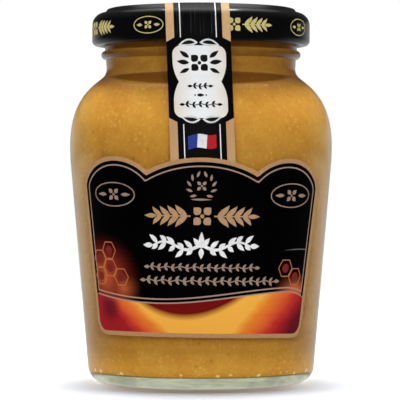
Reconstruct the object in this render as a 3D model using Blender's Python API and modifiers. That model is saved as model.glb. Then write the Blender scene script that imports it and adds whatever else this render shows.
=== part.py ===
"""A glass jar of mustard with a black metal cap, a paper front label and a paper seal over the cap.

Metres, +Z up. The origin is at the middle of the base, and the label faces -Y.
"""

import math

import bmesh
import bpy
from mathutils import Vector

MM = 0.001

# Every turned piece has the same number of sides, so that the gap between two of them is even all round
SIDES = 56
GAP = 0.3 * MM
MERGE = 0.001 * MM

# Foot of the glass: a flat ring to stand on, a heel outside it and a raised hollow inside it
RING_INNER_RADIUS = 22.4 * MM
RING_OUTER_RADIUS = 24.94 * MM
HEEL_ROUND = 4.0 * MM
HOLLOW_RADIUS = 20.0 * MM
HOLLOW_EDGE_HEIGHT = 1.1 * MM
HOLLOW_HEIGHT = 1.8 * MM

# Body: a cone that widens upwards, then a round shoulder drawn in to the neck
CONE_TOP_RADIUS = 33.43 * MM
CONE_TOP_HEIGHT = 57.0 * MM
BODY_RADIUS = 33.5 * MM
BODY_HEIGHT = 59.8 * MM
SHOULDER_RADIUS = 26.8 * MM
SHOULDER_HEIGHT = 76.3 * MM
SHOULDER_SLOPE = math.radians(38.0)
SHOULDER_LOWER_PULL = 4.5 * MM
SHOULDER_UPPER_PULL = 8.0 * MM

# Neck, with a bead under the cap and a plain mouth inside it
NECK_RADIUS = 24.15 * MM
NECK_FILLET = 3.2 * MM
BEAD_HEIGHT = 83.4 * MM
BEAD_ROUND = 1.1 * MM
BEAD_RADIUS = 25.5 * MM
MOUTH_RADIUS = 24.55 * MM
MOUTH_HEIGHT = 92.9 * MM
MOUTH_ROUND = 0.9 * MM

# Inside of the glass
WALL = 2.3 * MM
FLOOR_EDGE = 2.9 * MM
FLOOR_MIDDLE = 4.4 * MM
FLOOR_ROUND = 3.6 * MM
FLOOR_STEPS = 3

# Mustard level, behind the skirt of the cap
MUSTARD_HEIGHT = 88.0 * MM

# Cap: skirt with a rolled edge, round shoulder, raised rim, lower panel and a low button
CAP_SHEET = 1.0 * MM
CURL_HEIGHT = 85.75 * MM
CURL_ROUND = 1.3 * MM
SKIRT_RADIUS = 27.83 * MM
SKIRT_HEIGHT = 91.0 * MM
CAP_ROUND = 3.2 * MM
CAP_LEDGE_HEIGHT = SKIRT_HEIGHT + CAP_ROUND
RIM_FOOT_RADIUS = 24.6 * MM
RIM_RADIUS = 23.2 * MM
RIM_HEIGHT = 95.3 * MM
RIM_ROUND = 0.2 * MM
PANEL_RADIUS = 21.2 * MM
PANEL_HEIGHT = 94.85 * MM
PANEL_STEP = 0.9 * MM
BUTTON_RADIUS = 9.0 * MM
BUTTON_HEIGHT = 95.1 * MM
BUTTON_STEP = 1.2 * MM

# Front label: three arches along the top. Widths run round the jar as on a cylinder of radius LABEL_WRAP,
# and shrink by LABEL_NARROWING for each metre below the top of the cone
PAPER = 0.25 * MM
LABEL_WRAP = 32.0 * MM
LABEL_HALF_WIDTH = 33.6 * MM
LABEL_NARROWING = 1.0
LABEL_TILT = math.radians(0.8)
LABEL_SHIFT = -0.1 * MM
LABEL_PIVOT_HEIGHT = 35.0 * MM
LABEL_BOTTOM = 13.1 * MM
LABEL_BOTTOM_DROP = 0.45 * MM
LABEL_BOTTOM_ROUND = 4.0 * MM
MIDDLE_ARCH_TOP = 57.1 * MM
MIDDLE_ARCH_ROUND = 28.9 * MM
SIDE_ARCH_TOP = 57.15 * MM
SIDE_ARCH_ROUND = 14.75 * MM
SIDE_ARCH_PLACE = 22.2 * MM
SIDE_CORNER_ROUND = 5.0 * MM
NOTCH_PLACE = 13.05 * MM
NOTCH_COLUMN = 0.375
LABEL_COLUMNS = 32
LABEL_ROWS = 10

# Seal: a paper ribbon from the label's top, over the cap, to the same height behind
SEAL_HALF_WIDTH = 7.9 * MM
SEAL_END_HEIGHT = 57.0 * MM
SEAL_FOOT_PLACE = 0.5 * MM
SEAL_LEAN = math.radians(2.15)
SEAL_COLUMNS = 6

COLLECTION = "mustard_jar"


def clear_scene():
    """Remove every object that the file opened with."""
    for thing in list(bpy.data.objects):
        bpy.data.objects.remove(thing, do_unlink=True)


def finish(name, colour, roughness, transmission=0.0):
    """A Principled BSDF material, not metallic."""
    material = bpy.data.materials.new(name)
    material.use_nodes = True
    shader = material.node_tree.nodes["Principled BSDF"]
    shader.inputs["Base Color"].default_value = (*colour, 1.0)
    shader.inputs["Roughness"].default_value = roughness
    shader.inputs["Transmission Weight"].default_value = transmission
    return material


def put(name, mesh, material, collection):
    """An object for a mesh, in the jar's collection."""
    mesh.materials.append(material)
    piece = bpy.data.objects.new(name, mesh)
    collection.objects.link(piece)
    return piece


def arc(centre, radius, start, end, steps):
    """Points on a circle in the profile plane, from one angle in degrees to another."""
    points = []
    for step in range(steps + 1):
        angle = math.radians(start + (end - start) * step / steps)
        offset = Vector((math.cos(angle), math.sin(angle))) * radius
        points.append(Vector(centre) + offset)
    return points


def bezier(start, first, second, end, steps):
    """Points on a cubic curve in the profile plane."""
    points = []
    for step in range(steps + 1):
        t = step / steps
        s = 1.0 - t
        points.append(
            Vector(start) * s**3
            + Vector(first) * 3.0 * s * s * t
            + Vector(second) * 3.0 * s * t * t
            + Vector(end) * t**3
        )
    return points


def offset_path(points, distance):
    """A path moved to its right, which is outwards for one that runs up the outside."""
    ways = [(end - start).normalized() for start, end in zip(points, points[1:])]
    moved = []
    for point, before, after in zip(points, ways[:1] + ways, ways + ways[-1:]):
        along = (before + after).normalized()
        moved.append(point + Vector((along.y, -along.x)) * distance / along.dot(before))
    return moved


def radius_at(points, height):
    """The radius of a rising path at one height."""
    for low, high in zip(points, points[1:]):
        if low.y <= height <= high.y:
            share = (height - low.y) / (high.y - low.y)
            return low.x + (high.x - low.x) * share
    return points[-1].x if height > points[-1].y else points[0].x


def turned(name, profile, material, collection):
    """A profile of radius and height, turned about the Z axis."""
    mesh = bpy.data.meshes.new(name)
    shape = bmesh.new()
    corners = [shape.verts.new((point.x, 0.0, point.y)) for point in profile]
    for start, end in zip(corners, corners[1:]):
        shape.edges.new((start, end))
    shape.to_mesh(mesh)
    shape.free()
    piece = put(name, mesh, material, collection)
    screw = piece.modifiers.new("Turn", "SCREW")
    screw.axis = "Z"
    screw.angle = math.tau
    screw.steps = SIDES
    screw.render_steps = SIDES
    screw.use_merge_vertices = True
    screw.merge_threshold = MERGE
    screw.use_smooth_shade = True


def heel():
    """The heel of the glass, from the foot of the cone down to the ring that it stands on."""
    rise = CONE_TOP_HEIGHT - HEEL_ROUND
    lean = math.degrees(math.atan2(CONE_TOP_RADIUS - RING_OUTER_RADIUS - HEEL_ROUND, rise))
    return arc((RING_OUTER_RADIUS, HEEL_ROUND), HEEL_ROUND, -lean, -90.0, 4)


def body_path():
    """The outside of the glass from the top of the heel to the foot of the bead."""
    slope = Vector((-math.cos(SHOULDER_SLOPE), math.sin(SHOULDER_SLOPE)))
    shoulder_end = Vector((SHOULDER_RADIUS, SHOULDER_HEIGHT))
    shoulder = bezier(
        (BODY_RADIUS, BODY_HEIGHT),
        (BODY_RADIUS, BODY_HEIGHT + SHOULDER_LOWER_PULL),
        shoulder_end - slope * SHOULDER_UPPER_PULL,
        shoulder_end,
        8,
    )
    turn = 90.0 - math.degrees(SHOULDER_SLOPE)
    drawn_in = SHOULDER_RADIUS - NECK_RADIUS - NECK_FILLET * (1.0 - math.sin(SHOULDER_SLOPE))
    fillet_start = shoulder_end + slope * (drawn_in / math.cos(SHOULDER_SLOPE))
    fillet_height = fillet_start.y + NECK_FILLET * math.cos(SHOULDER_SLOPE)
    fillet = arc((NECK_RADIUS + NECK_FILLET, fillet_height), NECK_FILLET, 180.0 + turn, 180.0, 4)
    return heel()[:1] + [Vector((CONE_TOP_RADIUS, CONE_TOP_HEIGHT))] + shoulder + fillet


def inner_path(inset):
    """The inside of the glass from the middle of its floor to the neck, moved inwards by inset."""
    wall = offset_path(body_path(), -(WALL + inset))
    corner_height = FLOOR_EDGE + FLOOR_ROUND
    corner_radius = radius_at(wall, corner_height + inset) - (FLOOR_ROUND - inset)
    corner = arc((corner_radius, corner_height), FLOOR_ROUND - inset, -90.0, -5.0, 4)
    rise = FLOOR_MIDDLE - FLOOR_EDGE
    floor = []
    for step in range(FLOOR_STEPS):
        share = step / FLOOR_STEPS
        height = FLOOR_EDGE + rise * (1.0 - share**2) + inset
        floor.append(Vector((corner_radius * share, height)))
    return floor + corner + wall[1:]


def glass_profile():
    """The closed section of the glass, from the middle of its floor round to the middle of its underside."""
    inside = inner_path(0.0)
    mouth_inner = inside[-1].x
    rim_height = MOUTH_HEIGHT - MOUTH_ROUND
    inner_rim = arc((mouth_inner + MOUTH_ROUND, rim_height), MOUTH_ROUND, 180.0, 90.0, 2)
    outer_rim = arc((MOUTH_RADIUS - MOUTH_ROUND, rim_height), MOUTH_ROUND, 90.0, 0.0, 2)
    bead_centre = (BEAD_RADIUS - BEAD_ROUND, BEAD_HEIGHT)
    bead = arc(bead_centre, BEAD_ROUND, 82.0, -94.0, 4)
    outside = list(reversed(body_path()))
    hollow = [
        Vector((RING_INNER_RADIUS, 0.0)),
        Vector((HOLLOW_RADIUS, HOLLOW_EDGE_HEIGHT)),
        Vector((HOLLOW_RADIUS / 2.0, HOLLOW_HEIGHT)),
        Vector((0.0, HOLLOW_HEIGHT)),
    ]
    return inside + inner_rim + outer_rim + bead + outside + heel()[1:] + hollow


def mustard_profile():
    """The mustard, which fills the glass up to a level behind the cap's skirt."""
    side = [point for point in inner_path(GAP) if point.y < MUSTARD_HEIGHT]
    top_radius = side[-1].x
    top = [Vector((0.0, MUSTARD_HEIGHT)), Vector((top_radius, MUSTARD_HEIGHT))]
    return top + list(reversed(side))


def cap_top():
    """The outside of the cap from the middle of its top to the head of the skirt."""
    top = [
        Vector((0.0, BUTTON_HEIGHT)),
        Vector((BUTTON_RADIUS, BUTTON_HEIGHT)),
        Vector((BUTTON_RADIUS + BUTTON_STEP, PANEL_HEIGHT)),
        Vector((PANEL_RADIUS, PANEL_HEIGHT)),
        Vector((PANEL_RADIUS + PANEL_STEP, RIM_HEIGHT)),
        Vector((RIM_RADIUS, RIM_HEIGHT)),
        Vector(((RIM_RADIUS + RIM_FOOT_RADIUS) / 2.0, RIM_HEIGHT - RIM_ROUND)),
    ]
    return top + arc((SKIRT_RADIUS - CAP_ROUND, SKIRT_HEIGHT), CAP_ROUND, 90.0, 0.0, 5)


def cap_curl():
    """The rolled edge of the cap, from the foot of the skirt round to its inner side."""
    centre = (SKIRT_RADIUS - CURL_ROUND, CURL_HEIGHT + CURL_ROUND)
    return arc(centre, CURL_ROUND, 0.0, -180.0, 6)


def cap_profile():
    """The closed section of the cap."""
    inner_skirt = SKIRT_RADIUS - CAP_SHEET
    under_ledge = CAP_LEDGE_HEIGHT - CAP_SHEET
    inside = [
        Vector((inner_skirt, CURL_HEIGHT + 2.0 * CURL_ROUND)),
        Vector((inner_skirt, SKIRT_HEIGHT)),
        Vector((SKIRT_RADIUS - CAP_ROUND, under_ledge)),
        Vector((PANEL_RADIUS, under_ledge)),
        Vector((PANEL_RADIUS - PANEL_STEP, PANEL_HEIGHT - CAP_SHEET)),
        Vector((0.0, PANEL_HEIGHT - CAP_SHEET)),
    ]
    return cap_top() + cap_curl() + inside


def label_top(place):
    """The height of the label's top edge at a distance from its middle line."""
    reach = abs(place)
    if reach <= NOTCH_PLACE:
        centre = MIDDLE_ARCH_TOP - MIDDLE_ARCH_ROUND
        return centre + math.sqrt(MIDDLE_ARCH_ROUND**2 - reach**2)
    arch_centre = SIDE_ARCH_TOP - SIDE_ARCH_ROUND
    corner_place = LABEL_HALF_WIDTH - SIDE_CORNER_ROUND
    between = corner_place - SIDE_ARCH_PLACE
    span = SIDE_ARCH_ROUND - SIDE_CORNER_ROUND
    corner_centre = arch_centre + math.sqrt(span**2 - between**2)
    if reach <= SIDE_ARCH_PLACE + SIDE_ARCH_ROUND * between / span:
        return arch_centre + math.sqrt(SIDE_ARCH_ROUND**2 - (reach - SIDE_ARCH_PLACE) ** 2)
    beyond = min(reach - corner_place, SIDE_CORNER_ROUND)
    return corner_centre + math.sqrt(SIDE_CORNER_ROUND**2 - beyond**2)


def label_bottom(place):
    """The height of the label's bottom edge at a distance from its middle line."""
    reach = abs(place)
    height = LABEL_BOTTOM - LABEL_BOTTOM_DROP * (reach / LABEL_HALF_WIDTH) ** 2
    corner_place = LABEL_HALF_WIDTH - LABEL_BOTTOM_ROUND
    if reach > corner_place:
        beyond = min(reach - corner_place, LABEL_BOTTOM_ROUND)
        height += LABEL_BOTTOM_ROUND - math.sqrt(LABEL_BOTTOM_ROUND**2 - beyond**2)
    return height


def label_place(column):
    """A grid column from -1 to 1 as a distance from the middle line, with one column on each notch."""
    share = abs(column)
    if share <= NOTCH_COLUMN:
        reach = NOTCH_PLACE * share / NOTCH_COLUMN
    else:
        beyond = (share - NOTCH_COLUMN) / (1.0 - NOTCH_COLUMN)
        reach = NOTCH_PLACE + (LABEL_HALF_WIDTH - NOTCH_PLACE) * math.sin(beyond * math.pi / 2.0)
    return math.copysign(reach, column)


def tilted(place, height):
    """A point of the label after it narrows downwards and is stuck on slightly turned."""
    narrowed = place * (1.0 - LABEL_NARROWING * (CONE_TOP_HEIGHT - height))
    up = height - LABEL_PIVOT_HEIGHT
    turned_place = narrowed + up * math.sin(LABEL_TILT) + LABEL_SHIFT
    return turned_place, height - narrowed * math.sin(LABEL_TILT)


def front_label(material, collection):
    """The label: a grid cut to its outline, wrapped on the glass and given the paper's thickness."""
    glass = body_path()
    sheet = bmesh.new()
    bmesh.ops.create_grid(sheet, x_segments=LABEL_COLUMNS, y_segments=LABEL_ROWS, size=1.0)
    for corner in sheet.verts:
        place = label_place(corner.co.x)
        share = (corner.co.y + 1.0) / 2.0
        height = label_bottom(place) + (label_top(place) - label_bottom(place)) * share
        place, height = tilted(place, height)
        radius = radius_at(glass, height) + GAP
        angle = place / LABEL_WRAP
        corner.co = (radius * math.sin(angle), -radius * math.cos(angle), height)
    paper("front_label", sheet, material, collection)


def paper(name, sheet, material, collection):
    """A sheet given the thickness of the paper on its outer side."""
    mesh = bpy.data.meshes.new(name)
    sheet.to_mesh(mesh)
    sheet.free()
    mesh.shade_smooth()
    piece = put(name, mesh, material, collection)
    wall = piece.modifiers.new("Paper", "SOLIDIFY")
    wall.thickness = PAPER
    wall.offset = 1.0


def taut_path():
    """The path of a ribbon pulled tight over the glass and the cap, from the label up to the axis."""
    glass = [point for point in body_path() if point.y > SEAL_END_HEIGHT]
    foot = Vector((radius_at(body_path(), SEAL_END_HEIGHT), SEAL_END_HEIGHT))
    cap = cap_curl()[:1] + list(reversed(cap_top()))
    path = []
    for point in [foot] + glass + cap + [Vector((0.0, RIM_HEIGHT))]:
        while len(path) > 1 and not bends_left(path[-2], path[-1], point):
            path.pop()
        path.append(point)
    return offset_path(path, GAP)


def bends_left(start, middle, end):
    """True if the way from start to end by middle turns to the left, and so is convex outwards."""
    first = middle - start
    second = end - middle
    return first.x * second.y - first.y * second.x > 0.0


def seal_strip(material, collection):
    """The seal: a ribbon laid along the taut path over the jar, leaning slightly."""
    front = taut_path()
    stations = [(-1.0, point) for point in front] + [(1.0, point) for point in reversed(front[:-1])]
    rows = len(stations) - 1
    run = [0.0]
    for (side, point), (next_side, following) in zip(stations, stations[1:]):
        step = Vector((side * point.x, point.y)) - Vector((next_side * following.x, following.y))
        run.append(run[-1] + step.length)
    sheet = bmesh.new()
    bmesh.ops.create_grid(sheet, x_segments=SEAL_COLUMNS, y_segments=rows, size=1.0)
    for corner in sheet.verts:
        row = round((corner.co.y + 1.0) / 2.0 * rows)
        side, point = stations[row]
        across = SEAL_FOOT_PLACE - run[row] * math.tan(SEAL_LEAN) + corner.co.x * SEAL_HALF_WIDTH
        out = math.sqrt(point.x**2 - across**2) if point.x > SEAL_HALF_WIDTH * 2.0 else point.x
        height = point.y
        if row == 0:
            place = math.asin(across / point.x) * LABEL_WRAP
            height = tilted(place, label_top(place))[1] + GAP
        corner.co = (across, side * out, height)
    paper("seal_strip", sheet, material, collection)


def main():
    """Build the five pieces of the jar."""
    clear_scene()
    jar = bpy.data.collections.new(COLLECTION)
    bpy.context.scene.collection.children.link(jar)
    glass = finish("clear_glass", (0.86, 0.91, 0.88), 0.04, transmission=1.0)
    mustard = finish("honey_mustard", (0.52, 0.27, 0.06), 0.45)
    enamel = finish("black_enamel", (0.006, 0.006, 0.007), 0.18)
    label_paper = finish("label_paper", (0.012, 0.010, 0.010), 0.42)
    seal_paper = finish("seal_paper", (0.42, 0.30, 0.19), 0.5)
    turned("glass_jar", glass_profile(), glass, jar)
    turned("mustard", mustard_profile(), mustard, jar)
    turned("lid", cap_profile(), enamel, jar)
    front_label(label_paper, jar)
    seal_strip(seal_paper, jar)


main()
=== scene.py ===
"""The looks of a shut glass jar of honey mustard, with a black cap, a paper label and a paper seal.

Sizes are in millimetres, +Z up, with the label facing -Y. A mesh is brought to metres when it is finished.
The papers are drawn flat, as places across and up the sheet, and are then laid on what carries them.
"""

from __future__ import annotations

import bisect
import logging
import math
from dataclasses import dataclass
from enum import Enum
from typing import Callable, Sequence, Union

import bmesh
import bpy
from mathutils import Matrix, Vector, noise


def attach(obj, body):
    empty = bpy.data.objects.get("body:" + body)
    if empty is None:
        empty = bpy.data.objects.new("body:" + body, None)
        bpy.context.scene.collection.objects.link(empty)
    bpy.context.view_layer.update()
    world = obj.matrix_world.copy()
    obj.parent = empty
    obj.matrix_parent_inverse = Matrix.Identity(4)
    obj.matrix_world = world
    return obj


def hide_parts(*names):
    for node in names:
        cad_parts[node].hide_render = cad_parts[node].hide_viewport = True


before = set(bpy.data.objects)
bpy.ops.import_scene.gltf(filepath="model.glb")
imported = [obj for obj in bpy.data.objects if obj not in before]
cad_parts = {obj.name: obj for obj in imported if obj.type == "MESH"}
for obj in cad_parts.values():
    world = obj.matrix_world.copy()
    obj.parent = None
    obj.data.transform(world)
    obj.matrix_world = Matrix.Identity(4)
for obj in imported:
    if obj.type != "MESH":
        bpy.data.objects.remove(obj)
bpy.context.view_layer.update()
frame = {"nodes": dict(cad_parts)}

LOG = logging.getLogger("mustard_jar")
METRES = 0.001
MERGE = 0.001
SHARP_ANGLE = math.radians(50.0)
SIDES = (-1.0, 1.0)
INK_THICKNESS = 0.02
PRINT_PLACE = "print_place"

Number = Union["Field", float]
Colour = tuple[float, float, float, float]
Paint = Union[bpy.types.NodeSocket, Colour]
Flat = tuple[float, float]
Ramp = tuple[float, float]
Pool = tuple[Flat, Flat]
Place = tuple[float, float, float]
Laying = Callable[[float, float, float], Vector]


class Slot(Enum):
    """The finishes that the part's record names."""

    GLASS = "glass"
    MUSTARD = "mustard"
    CAP = "cap_enamel"
    LABEL = "label_paper"
    SEAL = "seal_paper"


def screen(red: float, green: float, blue: float) -> Colour:
    """A colour seen on a screen, as linear light.

    Args:
        red: The red level from 0 to 255.
        green: The green level from 0 to 255.
        blue: The blue level from 0 to 255.

    Returns:
        The linear colour with full alpha.
    """
    levels = []
    for level in (red, green, blue):
        share = level / 255.0
        levels.append(share / 12.92 if share <= 0.04045 else ((share + 0.055) / 1.055) ** 2.4)
    return (levels[0], levels[1], levels[2], 1.0)


# Paths in a plane, mostly that of radius and height


def heading(angle: float) -> Vector:
    """The unit vector that points along an angle, in degrees."""
    turn = math.radians(angle)
    return Vector((math.cos(turn), math.sin(turn)))


def arc(centre: Flat, radius: float, start: float, end: float, steps: int) -> list[Vector]:
    """Points on a circle.

    Args:
        centre: The circle's centre, as radius and height.
        radius: The circle's own radius.
        start: The first angle, in degrees.
        end: The last angle, in degrees.
        steps: How many pieces the arc has.

    Returns:
        The points in order, both ends among them.
    """
    points = []
    for step in range(steps + 1):
        points.append(Vector(centre) + heading(start + (end - start) * step / steps) * radius)
    return points


def bezier(start: Vector, first: Vector, second: Vector, end: Vector, steps: int) -> list[Vector]:
    """Points on a cubic curve.

    Args:
        start: The first end.
        first: The handle of the first end.
        second: The handle of the last end.
        end: The last end.
        steps: How many pieces the curve has.

    Returns:
        The points in order, both ends among them.
    """
    points = []
    for step in range(steps + 1):
        t = step / steps
        s = 1.0 - t
        points.append(start * s**3 + first * 3.0 * s * s * t + second * 3.0 * s * t * t + end * t**3)
    return points


def divided(path: Sequence[Vector], longest: float) -> list[Vector]:
    """A path with its long pieces cut into shorter ones.

    Args:
        path: The points of the path.
        longest: The greatest length that a piece may have.

    Returns:
        The same path with more points.
    """
    points = [path[0]]
    for start, end in zip(path, path[1:]):
        pieces = max(1, math.ceil((end - start).length / longest))
        points += [start.lerp(end, piece / pieces) for piece in range(1, pieces + 1)]
    return points


def normals(path: Sequence[Vector]) -> list[Vector]:
    """The mitred normals on the right of a path, each long enough to keep an offset path's width.

    Args:
        path: The points of the path.

    Returns:
        One normal for each point.
    """
    ways = [(end - start).normalized() for start, end in zip(path, path[1:])]
    sides = []
    for before, after in zip(ways[:1] + ways, ways + ways[-1:]):
        along = (before + after).normalized()
        sides.append(Vector((along.y, -along.x)) / along.dot(before))
    return sides


def offset_path(path: Sequence[Vector], distance: float) -> list[Vector]:
    """A path moved to its right, which is outwards for one that runs up the outside.

    Args:
        path: The points of the path.
        distance: How far it moves.

    Returns:
        The moved points.
    """
    return [point + side * distance for point, side in zip(path, normals(path))]


def radius_at(path: Sequence[Vector], height: float) -> float:
    """The radius of a rising path at one height.

    Args:
        path: Points of radius and height, from low to high.
        height: The height that is asked for.

    Returns:
        The radius there, or that of the nearest end.
    """
    for low, high in zip(path, path[1:]):
        if low.y <= height <= high.y:
            return low.lerp(high, (height - low.y) / (high.y - low.y)).x
    return path[-1].x if height > path[-1].y else path[0].x


def ease(value: float, start: float, end: float) -> float:
    """A smooth step from 0 at start to 1 at end.

    Args:
        value: The place of the step that is asked for.
        start: Where the step begins.
        end: Where the step ends.

    Returns:
        A share between 0 and 1.
    """
    share = min(1.0, max(0.0, (value - start) / (end - start)))
    return share * share * (3.0 - 2.0 * share)


# Shader maths


class Field:
    """A number that varies over a surface. Arithmetic on it adds Math nodes."""

    def __init__(self, painter: Painter, socket: bpy.types.NodeSocket) -> None:
        """Wrap a socket of the painter's tree."""
        self.painter = painter
        self.socket = socket

    def math(self, operation: str, *operands: Number) -> Field:
        """The result of a Math node.

        Args:
            operation: The node's operation.
            operands: Its inputs, in order.

        Returns:
            The node's output.
        """
        sockets = dict(enumerate(operands))
        made = self.painter.node("ShaderNodeMath", {"operation": operation}, sockets)
        return Field(self.painter, made.outputs[0])

    def __add__(self, other: Number) -> Field:
        """This plus other."""
        return self.math("ADD", self, other)

    def __radd__(self, other: float) -> Field:
        """Other plus this."""
        return self.math("ADD", other, self)

    def __sub__(self, other: Number) -> Field:
        """This minus other."""
        return self.math("SUBTRACT", self, other)

    def __rsub__(self, other: float) -> Field:
        """Other minus this."""
        return self.math("SUBTRACT", other, self)

    def __mul__(self, other: Number) -> Field:
        """This times other."""
        return self.math("MULTIPLY", self, other)

    def __rmul__(self, other: float) -> Field:
        """Other times this."""
        return self.math("MULTIPLY", other, self)

    def __truediv__(self, other: Number) -> Field:
        """This divided by other."""
        return self.math("DIVIDE", self, other)

    def __pow__(self, other: float) -> Field:
        """This to a power."""
        return self.math("POWER", self, other)

    def __abs__(self) -> Field:
        """This without its sign."""
        return self.math("ABSOLUTE", self)

    def sine(self) -> Field:
        """The sine of this."""
        return self.math("SINE", self)

    def least(self, other: Number) -> Field:
        """The smaller of this and other."""
        return self.math("MINIMUM", self, other)

    def most(self, other: Number) -> Field:
        """The larger of this and other."""
        return self.math("MAXIMUM", self, other)

    def held(self) -> Field:
        """This, kept between 0 and 1."""
        return self.most(0.0).least(1.0)

    def length(self, other: Field) -> Field:
        """The length of a line that goes this far one way and other far the other way."""
        return (self * self + other * other) ** 0.5

    def rising(self, start: float, end: float) -> Field:
        """A straight ramp from 0 at start to 1 at end."""
        return ((self - start) / (end - start)).held()

    def inside(self, soft: float = 0.06) -> Field:
        """1 where this is above 0, and 0 where it is below, with an edge as wide as soft."""
        return (self / soft + 0.5).held()


class Painter:
    """Adds the nodes of one finish, or of the studio's surroundings."""

    def __init__(self, tree: bpy.types.NodeTree) -> None:
        """Start on a tree, with nothing in it."""
        self.tree = tree
        tree.nodes.clear()

    def node(self, kind: str, settings: dict, sockets: dict) -> bpy.types.Node:
        """Add a node.

        Args:
            kind: The node's type.
            settings: What is set on the node first, such as its operation or a ramp's stops.
            sockets: The values or links of its inputs, by name or by number.

        Returns:
            The new node.
        """
        made = self.tree.nodes.new(kind)
        for name, value in settings.items():
            if name == "stops":
                self.set_stops(made.color_ramp.elements, value)
            else:
                setattr(made, name, value)
        for name, value in sockets.items():
            self.plug(made.inputs[name], value)
        return made

    def set_stops(self, elements: bpy.types.ColorRampElements, stops: Sequence[tuple[float, Colour]]) -> None:
        """Give a ramp its stops.

        Args:
            elements: The ramp's own stops, two at first.
            stops: The place and the colour of each stop, in order.
        """
        while len(elements) < len(stops):
            elements.new(1.0)
        for element, (place, colour) in zip(elements, stops):
            element.position = place
            element.color = colour

    def plug(self, slot: bpy.types.NodeSocket, value: object) -> None:
        """Link or set one input.

        Args:
            slot: The input.
            value: A field, an output, or a plain value.
        """
        if isinstance(value, Field):
            value = value.socket
        if isinstance(value, bpy.types.NodeSocket):
            self.tree.links.new(value, slot)
        else:
            slot.default_value = value

    def mix(self, mask: Number, low: Paint, high: Paint) -> bpy.types.NodeSocket:
        """A colour between two.

        Args:
            mask: 0 for the first colour and 1 for the second.
            low: The first colour.
            high: The second colour.

        Returns:
            The mixed colour.
        """
        sockets = {0: mask, 6: low, 7: high}
        return self.node("ShaderNodeMix", {"data_type": "RGBA"}, sockets).outputs[2]

    def split(self, vector: bpy.types.NodeSocket) -> tuple[Field, Field, Field]:
        """The three numbers of a vector."""
        outputs = self.node("ShaderNodeSeparateXYZ", {}, {0: vector}).outputs
        return Field(self, outputs[0]), Field(self, outputs[1]), Field(self, outputs[2])

    def join(self, first: Number, second: Number, third: Number) -> bpy.types.NodeSocket:
        """A vector made of three numbers."""
        return self.node("ShaderNodeCombineXYZ", {}, {0: first, 1: second, 2: third}).outputs[0]

    def printed(self) -> tuple[Field, Field, Field]:
        """A paper's own places: across, up, and the third number that the paper keeps."""
        made = self.node("ShaderNodeAttribute", {"attribute_name": PRINT_PLACE}, {})
        return self.split(made.outputs["Vector"])

    def place(self) -> bpy.types.NodeSocket:
        """The place in the jar's frame.

        Returns:
            The place in millimetres.
        """
        place = self.node("ShaderNodeTexCoord", {}, {}).outputs["Object"]
        scaled = self.node("ShaderNodeVectorMath", {"operation": "SCALE"}, {0: place, 3: 1.0 / METRES})
        return scaled.outputs[0]

    def noise(self, where: bpy.types.NodeSocket, grain: float, detail: float = 2.0) -> Field:
        """Cloudy noise around one half.

        Args:
            where: The place that it reads, in millimetres.
            grain: The size of its clouds, in millimetres.
            detail: How many finer layers it has.

        Returns:
            The noise, from about 0.2 to 0.8.
        """
        sockets = {"Vector": where, "Scale": 1.0 / grain, "Detail": detail}
        return Field(self, self.node("ShaderNodeTexNoise", {}, sockets).outputs[0])

    def grains(self, where: bpy.types.NodeSocket, spacing: float) -> tuple[Field, Field]:
        """Scattered points.

        Args:
            where: The place that it reads, in millimetres.
            spacing: The distance between the points, in millimetres.

        Returns:
            The distance to the nearest point, as a share of the spacing, and that point's own number.
        """
        made = self.node("ShaderNodeTexVoronoi", {}, {"Vector": where, "Scale": 1.0 / spacing})
        number, _, _ = self.split(made.outputs["Color"])
        return Field(self, made.outputs["Distance"]), number

    def bump(self, height: Field, depth: float, strength: float = 1.0) -> bpy.types.NodeSocket:
        """A normal bent by a height.

        Args:
            height: The height, from 0 to 1.
            depth: What a height of 1 stands for, in millimetres.
            strength: The share of the bend that shows.

        Returns:
            The bent normal.
        """
        sockets = {"Strength": strength, "Distance": depth * METRES, "Height": height}
        return self.node("ShaderNodeBump", {}, sockets).outputs["Normal"]

    def surface(self, **sockets: object) -> None:
        """Finish a material with a Principled shader.

        Args:
            sockets: The values or links of the shader's inputs, by their names with underscores.
        """
        named = {name.replace("_", " "): value for name, value in sockets.items()}
        shader = self.node("ShaderNodeBsdfPrincipled", {}, named)
        self.node("ShaderNodeOutputMaterial", {}, {"Surface": shader.outputs[0]})


def material(name: str) -> tuple[bpy.types.Material, Painter]:
    """An empty material and the painter that fills it.

    Args:
        name: The material's name.

    Returns:
        The material and its painter.
    """
    made = bpy.data.materials.new(name)
    made.use_nodes = True
    return made, Painter(made.node_tree)


# Finishes


@dataclass(frozen=True)
class GlassFinish:
    """Clear flint glass with a faint green tint and a slightly wavy surface."""

    pale: Colour = (0.985, 0.995, 0.985, 1.0)
    green: Colour = (0.955, 0.985, 0.96, 1.0)
    bend: float = 1.51
    shine: float = 0.2
    wave: float = 9.0

    def material(self) -> bpy.types.Material:
        """Make the finish.

        Returns:
            The finished material.
        """
        made, painter = material("flint_glass")
        place = painter.place()
        cloud = painter.noise(place, self.wave)
        painter.surface(
            Base_Color=painter.mix(cloud, self.pale, self.green),
            Roughness=0.0,
            IOR=self.bend,
            Specular_IOR_Level=self.shine,
            Transmission_Weight=1.0,
        )
        return made


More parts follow.
